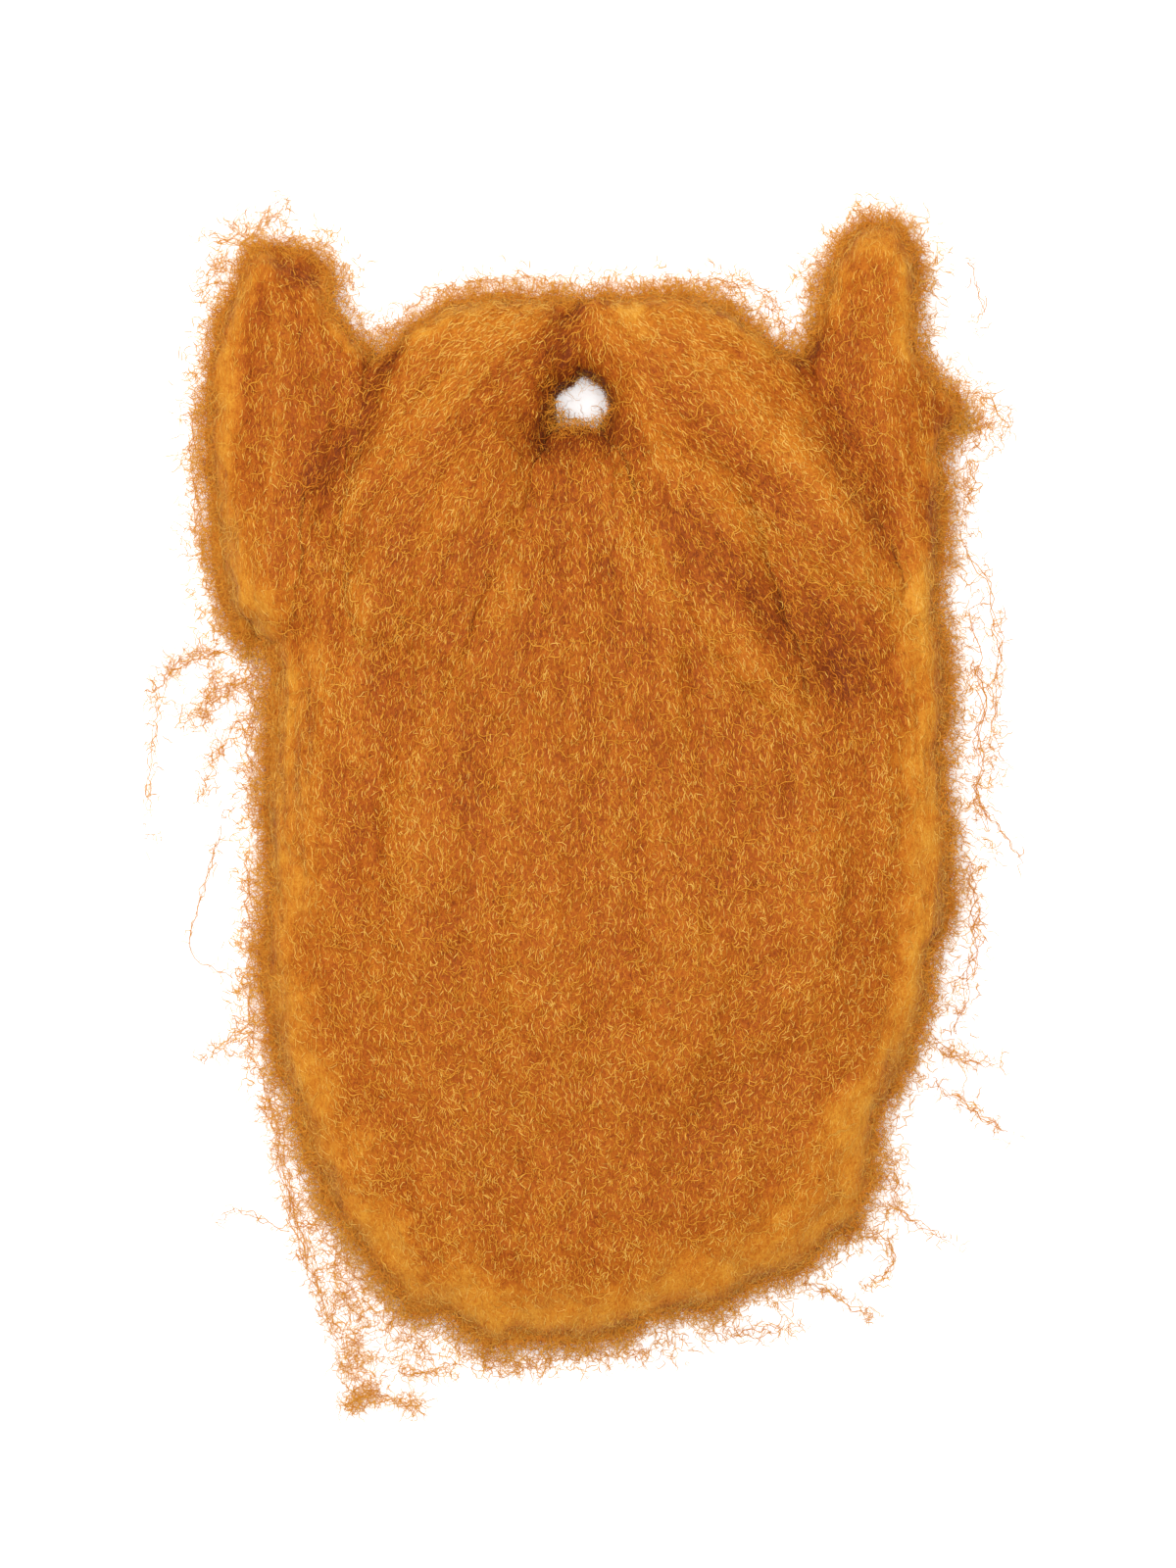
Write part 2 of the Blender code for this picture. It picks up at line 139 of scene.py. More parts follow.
def nearness(points: np.ndarray, across_px: float, down_px: float, reach: float) -> np.ndarray:
    """Gives exp(-d squared / (2 reach squared)) at distance d from a place in picture pixels."""
    return np.exp(-(distance_from(points, across_px, down_px) ** 2) / (2 * reach**2))


def clear_of_mouth(points: np.ndarray, low: float, high: float) -> np.ndarray:
    """Rises from 0 at the low distance from the middle of the mouth opening to 1 at the high one."""
    return smooth_step(low, high, distance_from(points, *MOUTH))


def upright(count: int) -> np.ndarray:
    """Gives so many unit vectors that point straight up."""
    return np.tile(np.array([0.0, 0.0, 1.0]), (count, 1))


def any_way(count: int, dice: np.random.Generator) -> np.ndarray:
    """Draws so many level unit vectors, every way alike."""
    heading = dice.uniform(0, 2 * np.pi, count)
    return np.stack([np.cos(heading), np.sin(heading), np.zeros(count)], axis=1)


@dataclass
class Lumps:
    """Soft random unevenness: a sum of plane waves of about one length in random directions.

    Its value at a point is the sum of cos(k . p + phase) over the waves, scaled to a spread of about 1.
    """

    length: float
    seed: int
    waves: int = 22

    def at(self, points: np.ndarray) -> np.ndarray:
        """Works out the unevenness at points.

        Args:
            points: An array of places, 2 or 3 numbers each, in metres.

        Returns:
            One number a point, mostly between -2 and 2.
        """
        dice = np.random.default_rng(self.seed)
        directions = unit(dice.normal(size=(self.waves, points.shape[1])))
        waves = directions * (2 * np.pi / self.length) * dice.uniform(0.65, 1.5, (self.waves, 1))
        phases = dice.uniform(0, 2 * np.pi, self.waves)
        return np.cos(points @ waves.T + phases).sum(axis=1) * np.sqrt(2 / self.waves)


@dataclass
class Grid:
    """A square grid laid on the floor round the beard, which holds values worked out once for each cell."""

    half_width: float = 0.165
    half_length: float = 0.230
    pitch: float = 0.001

    @property
    def shape(self) -> tuple[int, int]:
        """Rows along y and columns along x."""
        return int(2 * self.half_length / self.pitch) + 1, int(2 * self.half_width / self.pitch) + 1

    def centres(self) -> np.ndarray:
        """Gives the x and y of every cell as rows of an array, row by row.

        Returns:
            Two numbers a cell, in metres.
        """
        rows, columns = self.shape
        y, x = np.mgrid[0:rows, 0:columns]
        x, y = x.ravel() * self.pitch - self.half_width, y.ravel() * self.pitch - self.half_length
        return np.stack([x, y], axis=1)

    def cell(self, points: np.ndarray) -> np.ndarray:
        """Gives the flat number of the cell that each point stands over.

        Args:
            points: Places, of which x and y are used.

        Returns:
            One whole number a point.
        """
        rows, columns = self.shape
        column = np.clip(np.rint((points[:, 0] + self.half_width) / self.pitch).astype(int), 0, columns - 1)
        row = np.clip(np.rint((points[:, 1] + self.half_length) / self.pitch).astype(int), 0, rows - 1)
        return row * columns + column

    def read(self, layer: np.ndarray, points: np.ndarray) -> np.ndarray:
        """Reads a layer between its cells.

        Args:
            layer: Values with the grid's shape.
            points: Places, of which x and y are used.

        Returns:
            The layer at each point, blended from the four nearest cells in proportion to nearness.
        """
        rows, columns = self.shape
        x = np.clip((points[:, 0] + self.half_width) / self.pitch, 0, columns - 1.001)
        y = np.clip((points[:, 1] + self.half_length) / self.pitch, 0, rows - 1.001)
        column, row = x.astype(int), y.astype(int)
        right, up = x - column, y - row
        low = layer[row, column] * (1 - right) + layer[row, column + 1] * right
        high = layer[row + 1, column] * (1 - right) + layer[row + 1, column + 1] * right
        return low * (1 - up) + high * up

    def soften(self, layer: np.ndarray, radius: float) -> np.ndarray:
        """Blurs a layer with a Gaussian.

        Args:
            layer: Values with the grid's shape.
            radius: The Gaussian's standard deviation, in metres.

        Returns:
            The blurred layer: its Fourier transform times exp(-2 (pi f radius) squared).
        """
        across = np.fft.rfftfreq(layer.shape[1], self.pitch)
        along = np.fft.fftfreq(layer.shape[0], self.pitch)
        square = along[:, None] ** 2 + across[None, :] ** 2
        return np.fft.irfft2(np.fft.rfft2(layer) * np.exp(-2 * (np.pi * radius) ** 2 * square), layer.shape)


@dataclass
class Stroke:
    """One pass of the comb: the path that it follows in picture pixels, its reach and what it does."""

    path: tuple[tuple[float, float], ...]
    kind: Combing = Combing.FLOW
    reach: float = 14 * MM
    force: float = 1.0

    def samples(self, spacing: float = 3 * MM) -> tuple[np.ndarray, np.ndarray]:
        """Samples the path evenly.

        Args:
            spacing: The distance between samples, in metres.

        Returns:
            The samples' places and the unit direction of the path at each.
        """
        path = np.array([floor_point(*place) for place in self.path])
        length = spans(path)[-1]
        places = places_along(path, np.linspace(0, length, max(3, int(length / spacing))))
        return places, unit(np.gradient(places, axis=0))


STROKES = (
    Stroke(((590, 330), (520, 352), (440, 400), (385, 470), (345, 545))),
    Stroke(((590, 350), (530, 378), (470, 440), (430, 530), (390, 640))),
    Stroke(((575, 370), (555, 430), (520, 510), (480, 610), (450, 700))),
    Stroke(((560, 440), (545, 560), (520, 700), (500, 860))),
    Stroke(((600, 450), (600, 600), (595, 760), (590, 920)), reach=18 * MM),
    Stroke(((620, 330), (690, 350), (760, 410), (810, 490), (860, 560))),
    Stroke(((610, 345), (680, 385), (750, 450), (830, 540), (900, 610))),
    Stroke(((625, 370), (660, 430), (720, 500), (790, 580), (860, 660))),
    Stroke(((640, 440), (665, 530), (710, 610), (760, 690), (810, 770))),
    Stroke(((650, 470), (680, 620), (710, 780), (730, 920)), reach=18 * MM),
    Stroke(((300, 260), (330, 330), (345, 400), (335, 500), (315, 600), (310, 720))),
    Stroke(((260, 260), (240, 350), (235, 450), (240, 560), (275, 680))),
    Stroke(((890, 250), (880, 330), (890, 420), (910, 520), (930, 620), (945, 740))),
    Stroke(((935, 250), (940, 330), (950, 420), (960, 520), (965, 650))),
    Stroke(((340, 640), (340, 800), (350, 960), (390, 1120), (440, 1250)), reach=22 * MM),
    Stroke(((450, 720), (445, 880), (455, 1040), (480, 1200), (500, 1350)), reach=22 * MM),
    Stroke(((590, 900), (590, 1060), (590, 1220), (590, 1380)), reach=22 * MM),
    Stroke(((740, 920), (735, 1040), (705, 1160), (690, 1320)), reach=22 * MM),
    Stroke(((860, 740), (860, 880), (850, 1020), (800, 1180), (780, 1310)), reach=22 * MM),
    Stroke(((950, 740), (950, 860), (930, 1000), (880, 1160), (850, 1270)), reach=18 * MM),
    Stroke(((640, 312), (720, 318), (780, 350), (815, 420)), Combing.RIDGE, 7 * MM, 1.0),
    Stroke(((655, 345), (715, 385), (780, 450), (850, 520), (895, 575)), Combing.RIDGE, 6 * MM, 0.9),
    Stroke(((645, 420), (700, 470), (770, 540), (850, 590), (930, 610)), Combing.RIDGE, 7 * MM, 0.7),
    Stroke(((640, 545), (680, 610), (740, 660), (800, 730)), Combing.RIDGE, 6 * MM, 0.7),
    Stroke(((430, 345), (480, 322), (560, 312)), Combing.RIDGE, 8 * MM, 0.8),
    Stroke(((500, 360), (450, 420), (420, 500)), Combing.RIDGE, 9 * MM, 0.4),
    Stroke(((812, 372), (850, 440), (885, 530), (905, 580)), Combing.CREASE, 5 * MM, 1.1),
    Stroke(((680, 370), (740, 430), (800, 500), (850, 560)), Combing.CREASE, 4 * MM, 0.6),
    Stroke(((690, 520), (740, 590), (790, 640), (850, 690)), Combing.CREASE, 7 * MM, 0.9),
    Stroke(((840, 620), (860, 680), (850, 760)), Combing.CREASE, 12 * MM, 0.6),
    Stroke(((392, 380), (372, 440), (325, 490)), Combing.CREASE, 5 * MM, 0.9),
    Stroke(((577, 325), (572, 385)), Combing.CREASE, 5 * MM, 1.2),
    Stroke(((560, 440), (640, 445)), Combing.CREASE, 6 * MM, 0.9),
    Stroke(((790, 1085), (740, 1120), (690, 1180)), Combing.CREASE, 7 * MM, 0.6),
    Stroke(((294, 266), (312, 280)), Combing.CREASE, 3.5 * MM, 2.0),
    Stroke(((270, 300), (260, 380), (264, 460), (278, 540)), Combing.CREASE, 3.5 * MM, 0.5),
)


@dataclass(frozen=True)
class Pare:
    """A place, in picture pixels, where the body's edge is thinned back, or plumped by a negative amount."""

    across: float
    down: float
    reach: float
    amount: float


PARES = (
    Pare(588, 322, 8 * MM, -5.0 * MM),
    Pare(588, 350, 8 * MM, -3.0 * MM),
    Pare(562, 382, 5 * MM, -6.0 * MM),
    Pare(626, 380, 4.5 * MM, -4.0 * MM),
    Pare(240, 600, 9 * MM, -3.0 * MM),
    Pare(262, 634, 7 * MM, -3.5 * MM),
    Pare(372, 440, 15 * MM, -2.5 * MM),
    Pare(262, 262, 7 * MM, -2.5 * MM),
    Pare(345, 262, 7 * MM, -3.0 * MM),
    Pare(830, 316, 9 * MM, -3.5 * MM),
    Pare(812, 366, 5 * MM, -2.5 * MM),
    Pare(368, 308, 6 * MM, 4.0 * MM),
    Pare(385, 325, 7 * MM, 2.0 * MM),
    Pare(795, 322, 9 * MM, 5.0 * MM),
    Pare(965, 330, 12 * MM, 4.0 * MM),
    Pare(985, 385, 8 * MM, 4.0 * MM),
    Pare(203, 430, 16 * MM, 2.0 * MM),
    Pare(905, 1245, 9 * MM, 5.0 * MM),
    Pare(680, 1375, 6 * MM, 6.0 * MM),
    Pare(962, 1080, 12 * MM, 3.0 * MM),
    Pare(990, 680, 20 * MM, 2.0 * MM),
    Pare(990, 860, 20 * MM, 2.0 * MM),
)


@dataclass
class CombedField:
    """Which way the fibre lies at each place, and where it is heaped or parted, from the comb's strokes."""

    grid: Grid = field(default_factory=lambda: Grid(pitch=0.003))
    strokes: tuple[Stroke, ...] = STROKES

    def __post_init__(self) -> None:
        """Lays every stroke on the grid.

        The lie of the fibre is the sum over stroke samples of exp(-d squared / (2 reach squared)) times the
        stroke's direction, with a faint pull straight down the beard. The heap is the greatest such weight
        along each ridge, less the greatest along each crease.
        """
        places = self.grid.centres()
        lie = np.tile(np.array([0.0, -1e-4]), (len(places), 1))
        heap = np.zeros(len(places))
        for stroke in self.strokes:
            points, directions = stroke.samples()
            away = ((places[:, None, :] - points[None, :, :]) ** 2).sum(axis=2)
            weights = np.exp(-away / (2 * stroke.reach**2)) * stroke.force
            if stroke.kind is Combing.FLOW:
                lie += weights @ directions
            else:
                heap += stroke.kind.value * weights.max(axis=1)
        self.lie = unit(lie).reshape(*self.grid.shape, 2)
        self.heap = heap.reshape(self.grid.shape)

    def direction(self, points: np.ndarray) -> np.ndarray:
        """Gives the unit lie of the fibre at points, with no rise.

        Args:
            points: Places, of which x and y are used.

        Returns:
            Unit vectors, one a point.
        """
        x = self.grid.read(self.lie[..., 0], points)
        y = self.grid.read(self.lie[..., 1], points)
        return unit(np.stack([x, y, np.zeros(len(points))], axis=1))

    def over(
        self, normals: np.ndarray, points: np.ndarray, turn: np.ndarray
    ) -> tuple[np.ndarray, np.ndarray]:
        """Gives the lie over a surface, turned in it.

        Args:
            normals: The surface's unit normals at the points.
            points: Places on the surface.
            turn: The turn at each, in radians, as a column.

        Returns:
            The turned lie and the direction beside it, unit vectors both.
        """
        lie = self.direction(points)
        lie = unit(lie - normals * (lie * normals).sum(axis=1, keepdims=True))
        along = lie * np.cos(turn) + np.cross(normals, lie) * np.sin(turn)
        return along, np.cross(normals, along)

    def heaped(self, points: np.ndarray) -> np.ndarray:
        """Gives how far the fibre is heaped (above 0) or parted (below 0) at points."""
        return self.grid.read(self.heap, points)


@dataclass
class Streaks:
    """Light and dark streaks along the lie of the fibre, as in combed tow where strands part and gather."""

    grid: Grid = field(default_factory=Grid)
    half_length: float = 14 * MM
    seed: int = 21

    def draw(self, combed: CombedField) -> None:
        """Works the streaks out for every cell.

        A cell's value is the mean of random noise along the line of flow through it, half a streak each way,
        for noise of 1 mm and of 2.5 mm, scaled to a spread of 1.

        Args:
            combed: The comb's strokes.
        """
        dice = np.random.default_rng(self.seed)
        fine = dice.normal(size=self.grid.shape)
        broad = self.grid.soften(dice.normal(size=self.grid.shape), 2 * MM)
        noise = fine + 0.22 * broad / broad.std()
        start = np.column_stack([self.grid.centres(), np.zeros(int(np.prod(self.grid.shape)))])
        total = np.zeros(len(start))
        for way in (-self.grid.pitch, self.grid.pitch):
            place = start.copy()
            for _ in range(int(self.half_length / self.grid.pitch)):
                place += combed.direction(place) * way
                total += self.grid.read(noise, place)
        self.layer = (total / total.std()).reshape(self.grid.shape)

    def at(self, points: np.ndarray) -> np.ndarray:
        """Gives the streak at points: strong over the lip and cheeks, a third of that low on the chin."""
        fade = 0.35 + 0.65 * smooth_step(-0.090, 0.010, points[:, 1])
        return self.grid.read(self.layer, points) * fade


@dataclass
class Relief:
    """The beard's form seen from above: how far each place is from the outline, and how hollow it is."""

    grid: Grid = field(default_factory=Grid)
    reach: int = 42
    fill: float = 4 * MM
    near_blur: float = 1.4 * MM

    def measure(self, points: np.ndarray) -> None:
        """Works the layers out from points strewn over the fibre bodies.

        A cell is inside where a point stands over it or close by, or where it lies in a small gap between
        bodies. The distance from the outline is counted in rings, by wearing the inside away one cell at a
        time, four and eight neighbours in turn. A hollow is the height blurred over 9 mm, less the height
        blurred over about 3 mm. The eased height is the height plus what is unusual in the change that a
        4 mm blur makes, with the grooves near the chin's edge filled by up to 4 mm. A place is pointed by
        how much less of the beard lies within some 6 mm of it than is usual that far from the outline.

        Args:
            points: Places on the faces that look up, a few a square millimetre.
        """
        height = self.highest(points)
        inside = self.grid.soften((height > 0).astype(float), 0.8 * MM) > 0.5
        inside |= self.grid.soften(inside.astype(float), 5 * MM) > 0.74
        depth = self.rings(inside) - self.rings(~inside)
        self.depth = self.grid.soften(depth, 1.5 * MM) * self.grid.pitch
        wide, eased, near = (self.blurred(height, radius) for radius in (9 * MM, 4 * MM, self.near_blur))
        self.hollow = np.where(inside, wide - self.grid.soften(near, 2.5 * MM), 0)
        self.height = near
        groove = smooth_step(6 * MM, 14 * MM, self.depth) * (1 - smooth_step(28 * MM, 40 * MM, self.depth))
        chin = 1 - smooth_step(0.045, 0.075, self.grid.centres()[:, 1]).reshape(self.grid.shape)
        filled = np.clip(self.unusual(wide - eased), 0, self.fill) * groove * chin
        self.eased = near + self.unusual(eased - near) + filled
        self.pointed = -self.unusual(self.grid.soften(inside.astype(float), 6 * MM))

    def blurred(self, height: np.ndarray, radius: float) -> np.ndarray:
        """Blurs the heights over a radius, over the cells that have one."""
        weight = (height > 0).astype(float)
        return self.grid.soften(height * weight, radius) / np.maximum(self.grid.soften(weight, radius), 0.05)

    def unusual(self, layer: np.ndarray) -> np.ndarray:
        """Gives how far a layer differs from its mean over all places as far from the outline.

        Args:
            layer: Values with the grid's shape.

        Returns:
            The differences, with the grid's shape.
        """
        rank = np.clip(np.round(self.depth / MM).astype(int) + 30, 0, 60).ravel()
        usual = np.bincount(rank, layer.ravel(), 61) / np.maximum(np.bincount(rank, None, 61), 1)
        return layer - usual[rank].reshape(layer.shape)

    def highest(self, points: np.ndarray) -> np.ndarray:
        """Gives the height of the highest point over each cell, 0 where there is none.

        Args:
            points: Places on the bodies.

        Returns:
            The heights in metres, with the grid's shape.
        """
        height = np.zeros(int(np.prod(self.grid.shape)))
        np.maximum.at(height, self.grid.cell(points), points[:, 2])
        return height.reshape(self.grid.shape)

    def tops(self, points: np.ndarray) -> np.ndarray:
        """Gives one body's own height from points strewn on it, blurred like the whole beard's."""
        return self.blurred(self.highest(points), self.near_blur)

    def rings(self, inside: np.ndarray) -> np.ndarray:
        """Counts the rings between each cell inside and the edge, up to the reach.

        Args:
            inside: Which cells are inside.

        Returns:
            The count for each cell, 0 outside.
        """
        total = np.zeros(inside.shape)
        left = inside.copy()
        for ring in range(self.reach):
            total += left
            down_up = np.roll(left, 1, 0) & np.roll(left, -1, 0)
            sides = left & down_up & np.roll(left, 1, 1) & np.roll(left, -1, 1)
            if ring % 2:
                wide = np.roll(sides, 1, 0) & np.roll(sides, -1, 0)
                sides &= wide | (np.roll(left, (1, 1), (0, 1)) & np.roll(left, (-1, -1), (0, 1)))
            left = sides
        return total

    def outward(self, points: np.ndarray) -> np.ndarray:
        """Gives the unit direction away from the beard at points: down the slope of the distance layer.

        Args:
            points: Places, of which x and y are used.

        Returns:
            Level unit vectors, one a point.
        """
        step = 2 * self.grid.pitch
        x, y = (
            self.grid.read(self.depth, points - move) - self.grid.read(self.depth, points + move)
            for move in (np.array([step, 0.0, 0.0]), np.array([0.0, step, 0.0]))
        )
        return unit(np.stack([x, y, np.zeros(len(points))], axis=1))


@dataclass
class Survey:
    """All that is known of each place on the beard: the comb's strokes, the streaks and the form."""

    combed: CombedField = field(default_factory=CombedField)
    streaks: Streaks = field(default_factory=Streaks)
    relief: Relief = field(default_factory=Relief)


def add_node(tree: bpy.types.NodeTree, kind: str, settings: dict, links: dict) -> bpy.types.Node:
    """Adds a shader node with its settings and links.

    Args:
        tree: The material's node tree.
        kind: The node's type name.
        settings: Properties by name, or input values by (input name or number,) tuples.
        links: The sockets that feed its inputs, by input name or number.

    Returns:
        The new node.
    """
    node = tree.nodes.new(kind)
    for name, value in settings.items():
        if isinstance(name, tuple):
            node.inputs[name[0]].default_value = value
        else:
            setattr(node, name, value)
    for name, socket in links.items():
        tree.links.new(socket, node.inputs[name])
    return node


@dataclass(frozen=True)
class CrepeFibre:
    """Kinky modacrylic crepe fibre, dyed ginger and teased out, as costume makers buy it in plaits.

    The drawn and crimped filament has a soft, slightly waxy lustre. Its ramp runs from dark red-brown, the
    painted shade where it is packed deep, through ginger at the surface, to gold, the painted highlight on
    each crest that catches the light.
    """

    name: str
    deep: str = "#6E2C04"
    shade: str = "#9C4A0A"
    body: str = "#BA6B16"
    gold: str = "#CE8C2A"
    crest: str = "#DEAA4E"
    roughness: float = 0.66
    ior: float = 1.5
    gloss: float = 0.12
    sheen: float = 0.02
    sheen_roughness: float = 0.5
    grain: float = 0.36 * MM
    relief: float = 0.25 * MM
    unevenness: float = 0.22
    curl: float = 1.2 * MM
    curl_tone: float = 0.09

    def build(self) -> bpy.types.Material:
        """Builds the material.

        The piece's own tone attribute sets the place on the ramp from deep to crest. Noise with a grain of
        0.36 mm, three times as long as it is wide, is added to the tone and gives the relief. The ridges of
        a turned noise of 1.2 mm are added to the tone too and stand for curled filaments. A real filament is
        under 0.1 mm wide, which is too fine to show here, so the grain is drawn a few times as coarse.

        Returns:
            The finished material.
        """
        material = bpy.data.materials.new(self.name)
        material.use_nodes = True
        tree = material.node_tree
        tree.nodes.clear()
        place = add_node(tree, "ShaderNodeTexCoord", {}, {}).outputs["Object"]
        turned = add_node(tree, "ShaderNodeMapping", {("Scale",): (1.0, 0.35, 0.5)}, {"Vector": place})
        grain = add_node(
            tree,
            "ShaderNodeTexNoise",
            {("Scale",): 1 / (2 * self.grain), ("Detail",): 2.0, ("Roughness",): 0.6, ("Distortion",): 0.4},
            {"Vector": turned.outputs["Vector"]},
        ).outputs["Fac"]
        tone = add_node(tree, "ShaderNodeAttribute", {"attribute_name": "tone"}, {})
        swing = add_node(
            tree,
            "ShaderNodeMath",
            {"operation": "MULTIPLY_ADD", (1,): self.unevenness * 2, (2,): -self.unevenness},
            {0: grain},
        )
        curls = add_node(
            tree,
            "ShaderNodeTexNoise",
            {
                "noise_type": "RIDGED_MULTIFRACTAL",
                ("Scale",): 1 / self.curl,
                ("Detail",): 1.0,
                ("Offset",): 0.9,
                ("Distortion",): 1.2,
            },
            {"Vector": place},
        )
        swings = {("To Min",): -self.curl_tone, ("To Max",): self.curl_tone}
        bright = add_node(
            tree,
            "ShaderNodeMapRange",
            {("From Min",): 0.2, ("From Max",): 1.1, **swings},
            {"Value": curls.outputs["Fac"]},
        )
        adding = {"operation": "ADD"}
        woven = add_node(tree, "ShaderNodeMath", adding, {0: tone.outputs["Fac"], 1: swing.outputs["Value"]})
        parts = {0: woven.outputs["Value"], 1: bright.outputs["Result"]}
        level = add_node(tree, "ShaderNodeMath", adding, parts)
        ramp = add_node(tree, "ShaderNodeValToRGB", {}, {"Fac": level.outputs["Value"]})
        stops = ramp.color_ramp.elements
        # The ramp's dark end carries painted shade and its pale end painted highlights, as well as the
        # fibre's own range of tone.
        stops[0].position, stops[0].color = 0.0, linear(self.deep)
        stops[1].position, stops[1].color = 1.0, linear(self.crest)
        for position, colour in ((0.25, self.shade), (0.50, self.body), (0.75, self.gold)):
            stops.new(position).color = linear(colour)
        bump = add_node(
            tree,
            "ShaderNodeBump",
            {("Distance",): self.relief, ("Strength",): 1.0},
            {"Height": grain},
        )
        shader = add_node(
            tree,
            "ShaderNodeBsdfPrincipled",
            {
                ("Roughness",): self.roughness,
                ("IOR",): self.ior,
                ("Specular IOR Level",): self.gloss,
                ("Sheen Weight",): self.sheen,
                ("Sheen Roughness",): self.sheen_roughness,
            },
            {"Base Color": ramp.outputs["Color"], "Normal": bump.outputs["Normal"]},
        )
        add_node(tree, "ShaderNodeOutputMaterial", {}, {"Surface": shader.outputs["BSDF"]})
        return material


@dataclass(frozen=True)
class StudioPaper:
    """White matt seamless paper on a light table, as a product studio lays under flat goods."""

    colour: str = "#F6F6F5"
    roughness: float = 0.9
    lit_through: float = 0.22

    def build(self) -> bpy.types.Material:
        """Builds the material.

        Returns:
            A plain matt white that glows a little.
        """
        material = bpy.data.materials.new("studio_paper")
        material.use_nodes = True
        tree = material.node_tree
        tree.nodes.clear()
        shader = add_node(
            tree,
            "ShaderNodeBsdfPrincipled",
            {
                ("Base Color",): linear(self.colour),
                ("Roughness",): self.roughness,
                ("Specular IOR Level",): 0.0,
                ("Emission Color",): (1.0, 1.0, 1.0, 1.0),
                ("Emission Strength",): self.lit_through,
            },
            {},
        )
        add_node(tree, "ShaderNodeOutputMaterial", {}, {"Surface": shader.outputs["BSDF"]})
        return material


def make_mesh(name: str, points: np.ndarray, faces: np.ndarray, tone: np.ndarray) -> bpy.types.Object:
    """Makes an object of four-sided faces from whole arrays.

    Args:
        name: The piece's name.
        points: Its vertices, three numbers each.
        faces: Four vertex numbers a face.
        tone: The tone attribute, one number a vertex.

    Returns:
        The new object, linked to the scene.
    """
    mesh = bpy.data.meshes.new(name)
    mesh.vertices.add(len(points))
    mesh.vertices.foreach_set("co", points.astype(np.float32).ravel())
    mesh.loops.add(faces.size)
    mesh.loops.foreach_set("vertex_index", faces.astype(np.int32).ravel())
    mesh.polygons.add(len(faces))
    mesh.polygons.foreach_set("loop_start", np.arange(0, faces.size, 4, dtype=np.int32))
    mesh.polygons.foreach_set("use_smooth", np.ones(len(faces), dtype=bool))
    mesh.update(calc_edges=True)
    mesh.attributes.new("tone", "FLOAT", "POINT").data.foreach_set("value", tone.astype(np.float32).ravel())
    piece = bpy.data.objects.new(name, mesh)
    bpy.context.scene.collection.objects.link(piece)
    return piece


@dataclass
class Strands:
    """Fibres as ribbons: a centre line each, a width along it, and a tone along it."""

    centres: np.ndarray
    widths: np.ndarray
    tones: np.ndarray
    up: np.ndarray
    roll: np.ndarray

    def mesh(self, name: str) -> bpy.types.Object:
        """Carries a flat profile along every centre line at once.

        The ribbon's width lies along (tangent x up) cos roll + ((tangent x up) x tangent) sin roll.

        Args:
            name: The piece's name.

        Returns:
            The object that holds all the fibres.
        """
        tangent = unit(np.gradient(self.centres, axis=1))
        side = unit(np.cross(tangent, self.up[:, None, :]))
        lift = np.cross(side, tangent)
        turn = self.roll[:, None, None]
        half = (side * np.cos(turn) + lift * np.sin(turn)) * self.widths[:, :, None] / 2
        points = np.stack([self.centres - half, self.centres + half], axis=2)
        points = np.clip(points, *FIBRE_LIMITS)
        count, rungs = self.centres.shape[:2]
        first = (np.arange(count)[:, None] * rungs + np.arange(rungs - 1)[None, :]).ravel() * 2
        faces = np.stack([first, first + 1, first + 3, first + 2], axis=1)
        return make_mesh(name, points.reshape(-1, 3), faces, np.repeat(self.tones.reshape(-1), 2))


def hand_in(piece: bpy.types.Object, finish: bpy.types.Material) -> None:
    """Gives a piece its finish and lets it ride on the beard's one body.

    Args:
        piece: The piece.
        finish: Its material.
    """
    piece.data.materials.append(finish)
    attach(piece, "root")


@dataclass(frozen=True)
class Toning:
    """The tones of the fibre, from 0, deep, to 1, crest, and what changes them."""

    surface: float = 0.45
    # Painted light: the smooth band round the edge is lighter, as light shines through its thin fibre.
    rim: float = 0.17
    # Painted shade: darker by how hollow a place is, this much a millimetre.
    hollow: float = 0.03
    # Painted shade below the lip.
    lip_shade: float = 0.06
    # Painted highlight along the comb's ridges.
    ridge: float = 0.07
    # Painted shade in the comb's creases.
    crease: float = 0.09
    # How much more the painted ridge highlight and crease shade tell over the cheeks.
    cheek_gain: float = 0.9
    streak: float = 0.036
    cheek_streak: float = 0.016
    patch: float = 0.012
    rim_patch: float = 0.035
    # Painted shade: the body under the fibre cover is darker, away from the edge band.
    under_cover_shade: float = 0.15
    # Painted light on the steep walls near the edge, which lie in shade.
    side: float = 0.03
    loose: float = 0.20
    standing: float = 0.84
    hem: float = 0.60
    # Painted light: the hem is lighter where it lies out over the floor, as light shines through its thin
    # hairs.
    painted_hem_glow: float = 0.22
    wisp: float = 0.68
    net: float = 0.74


TONES = Toning()


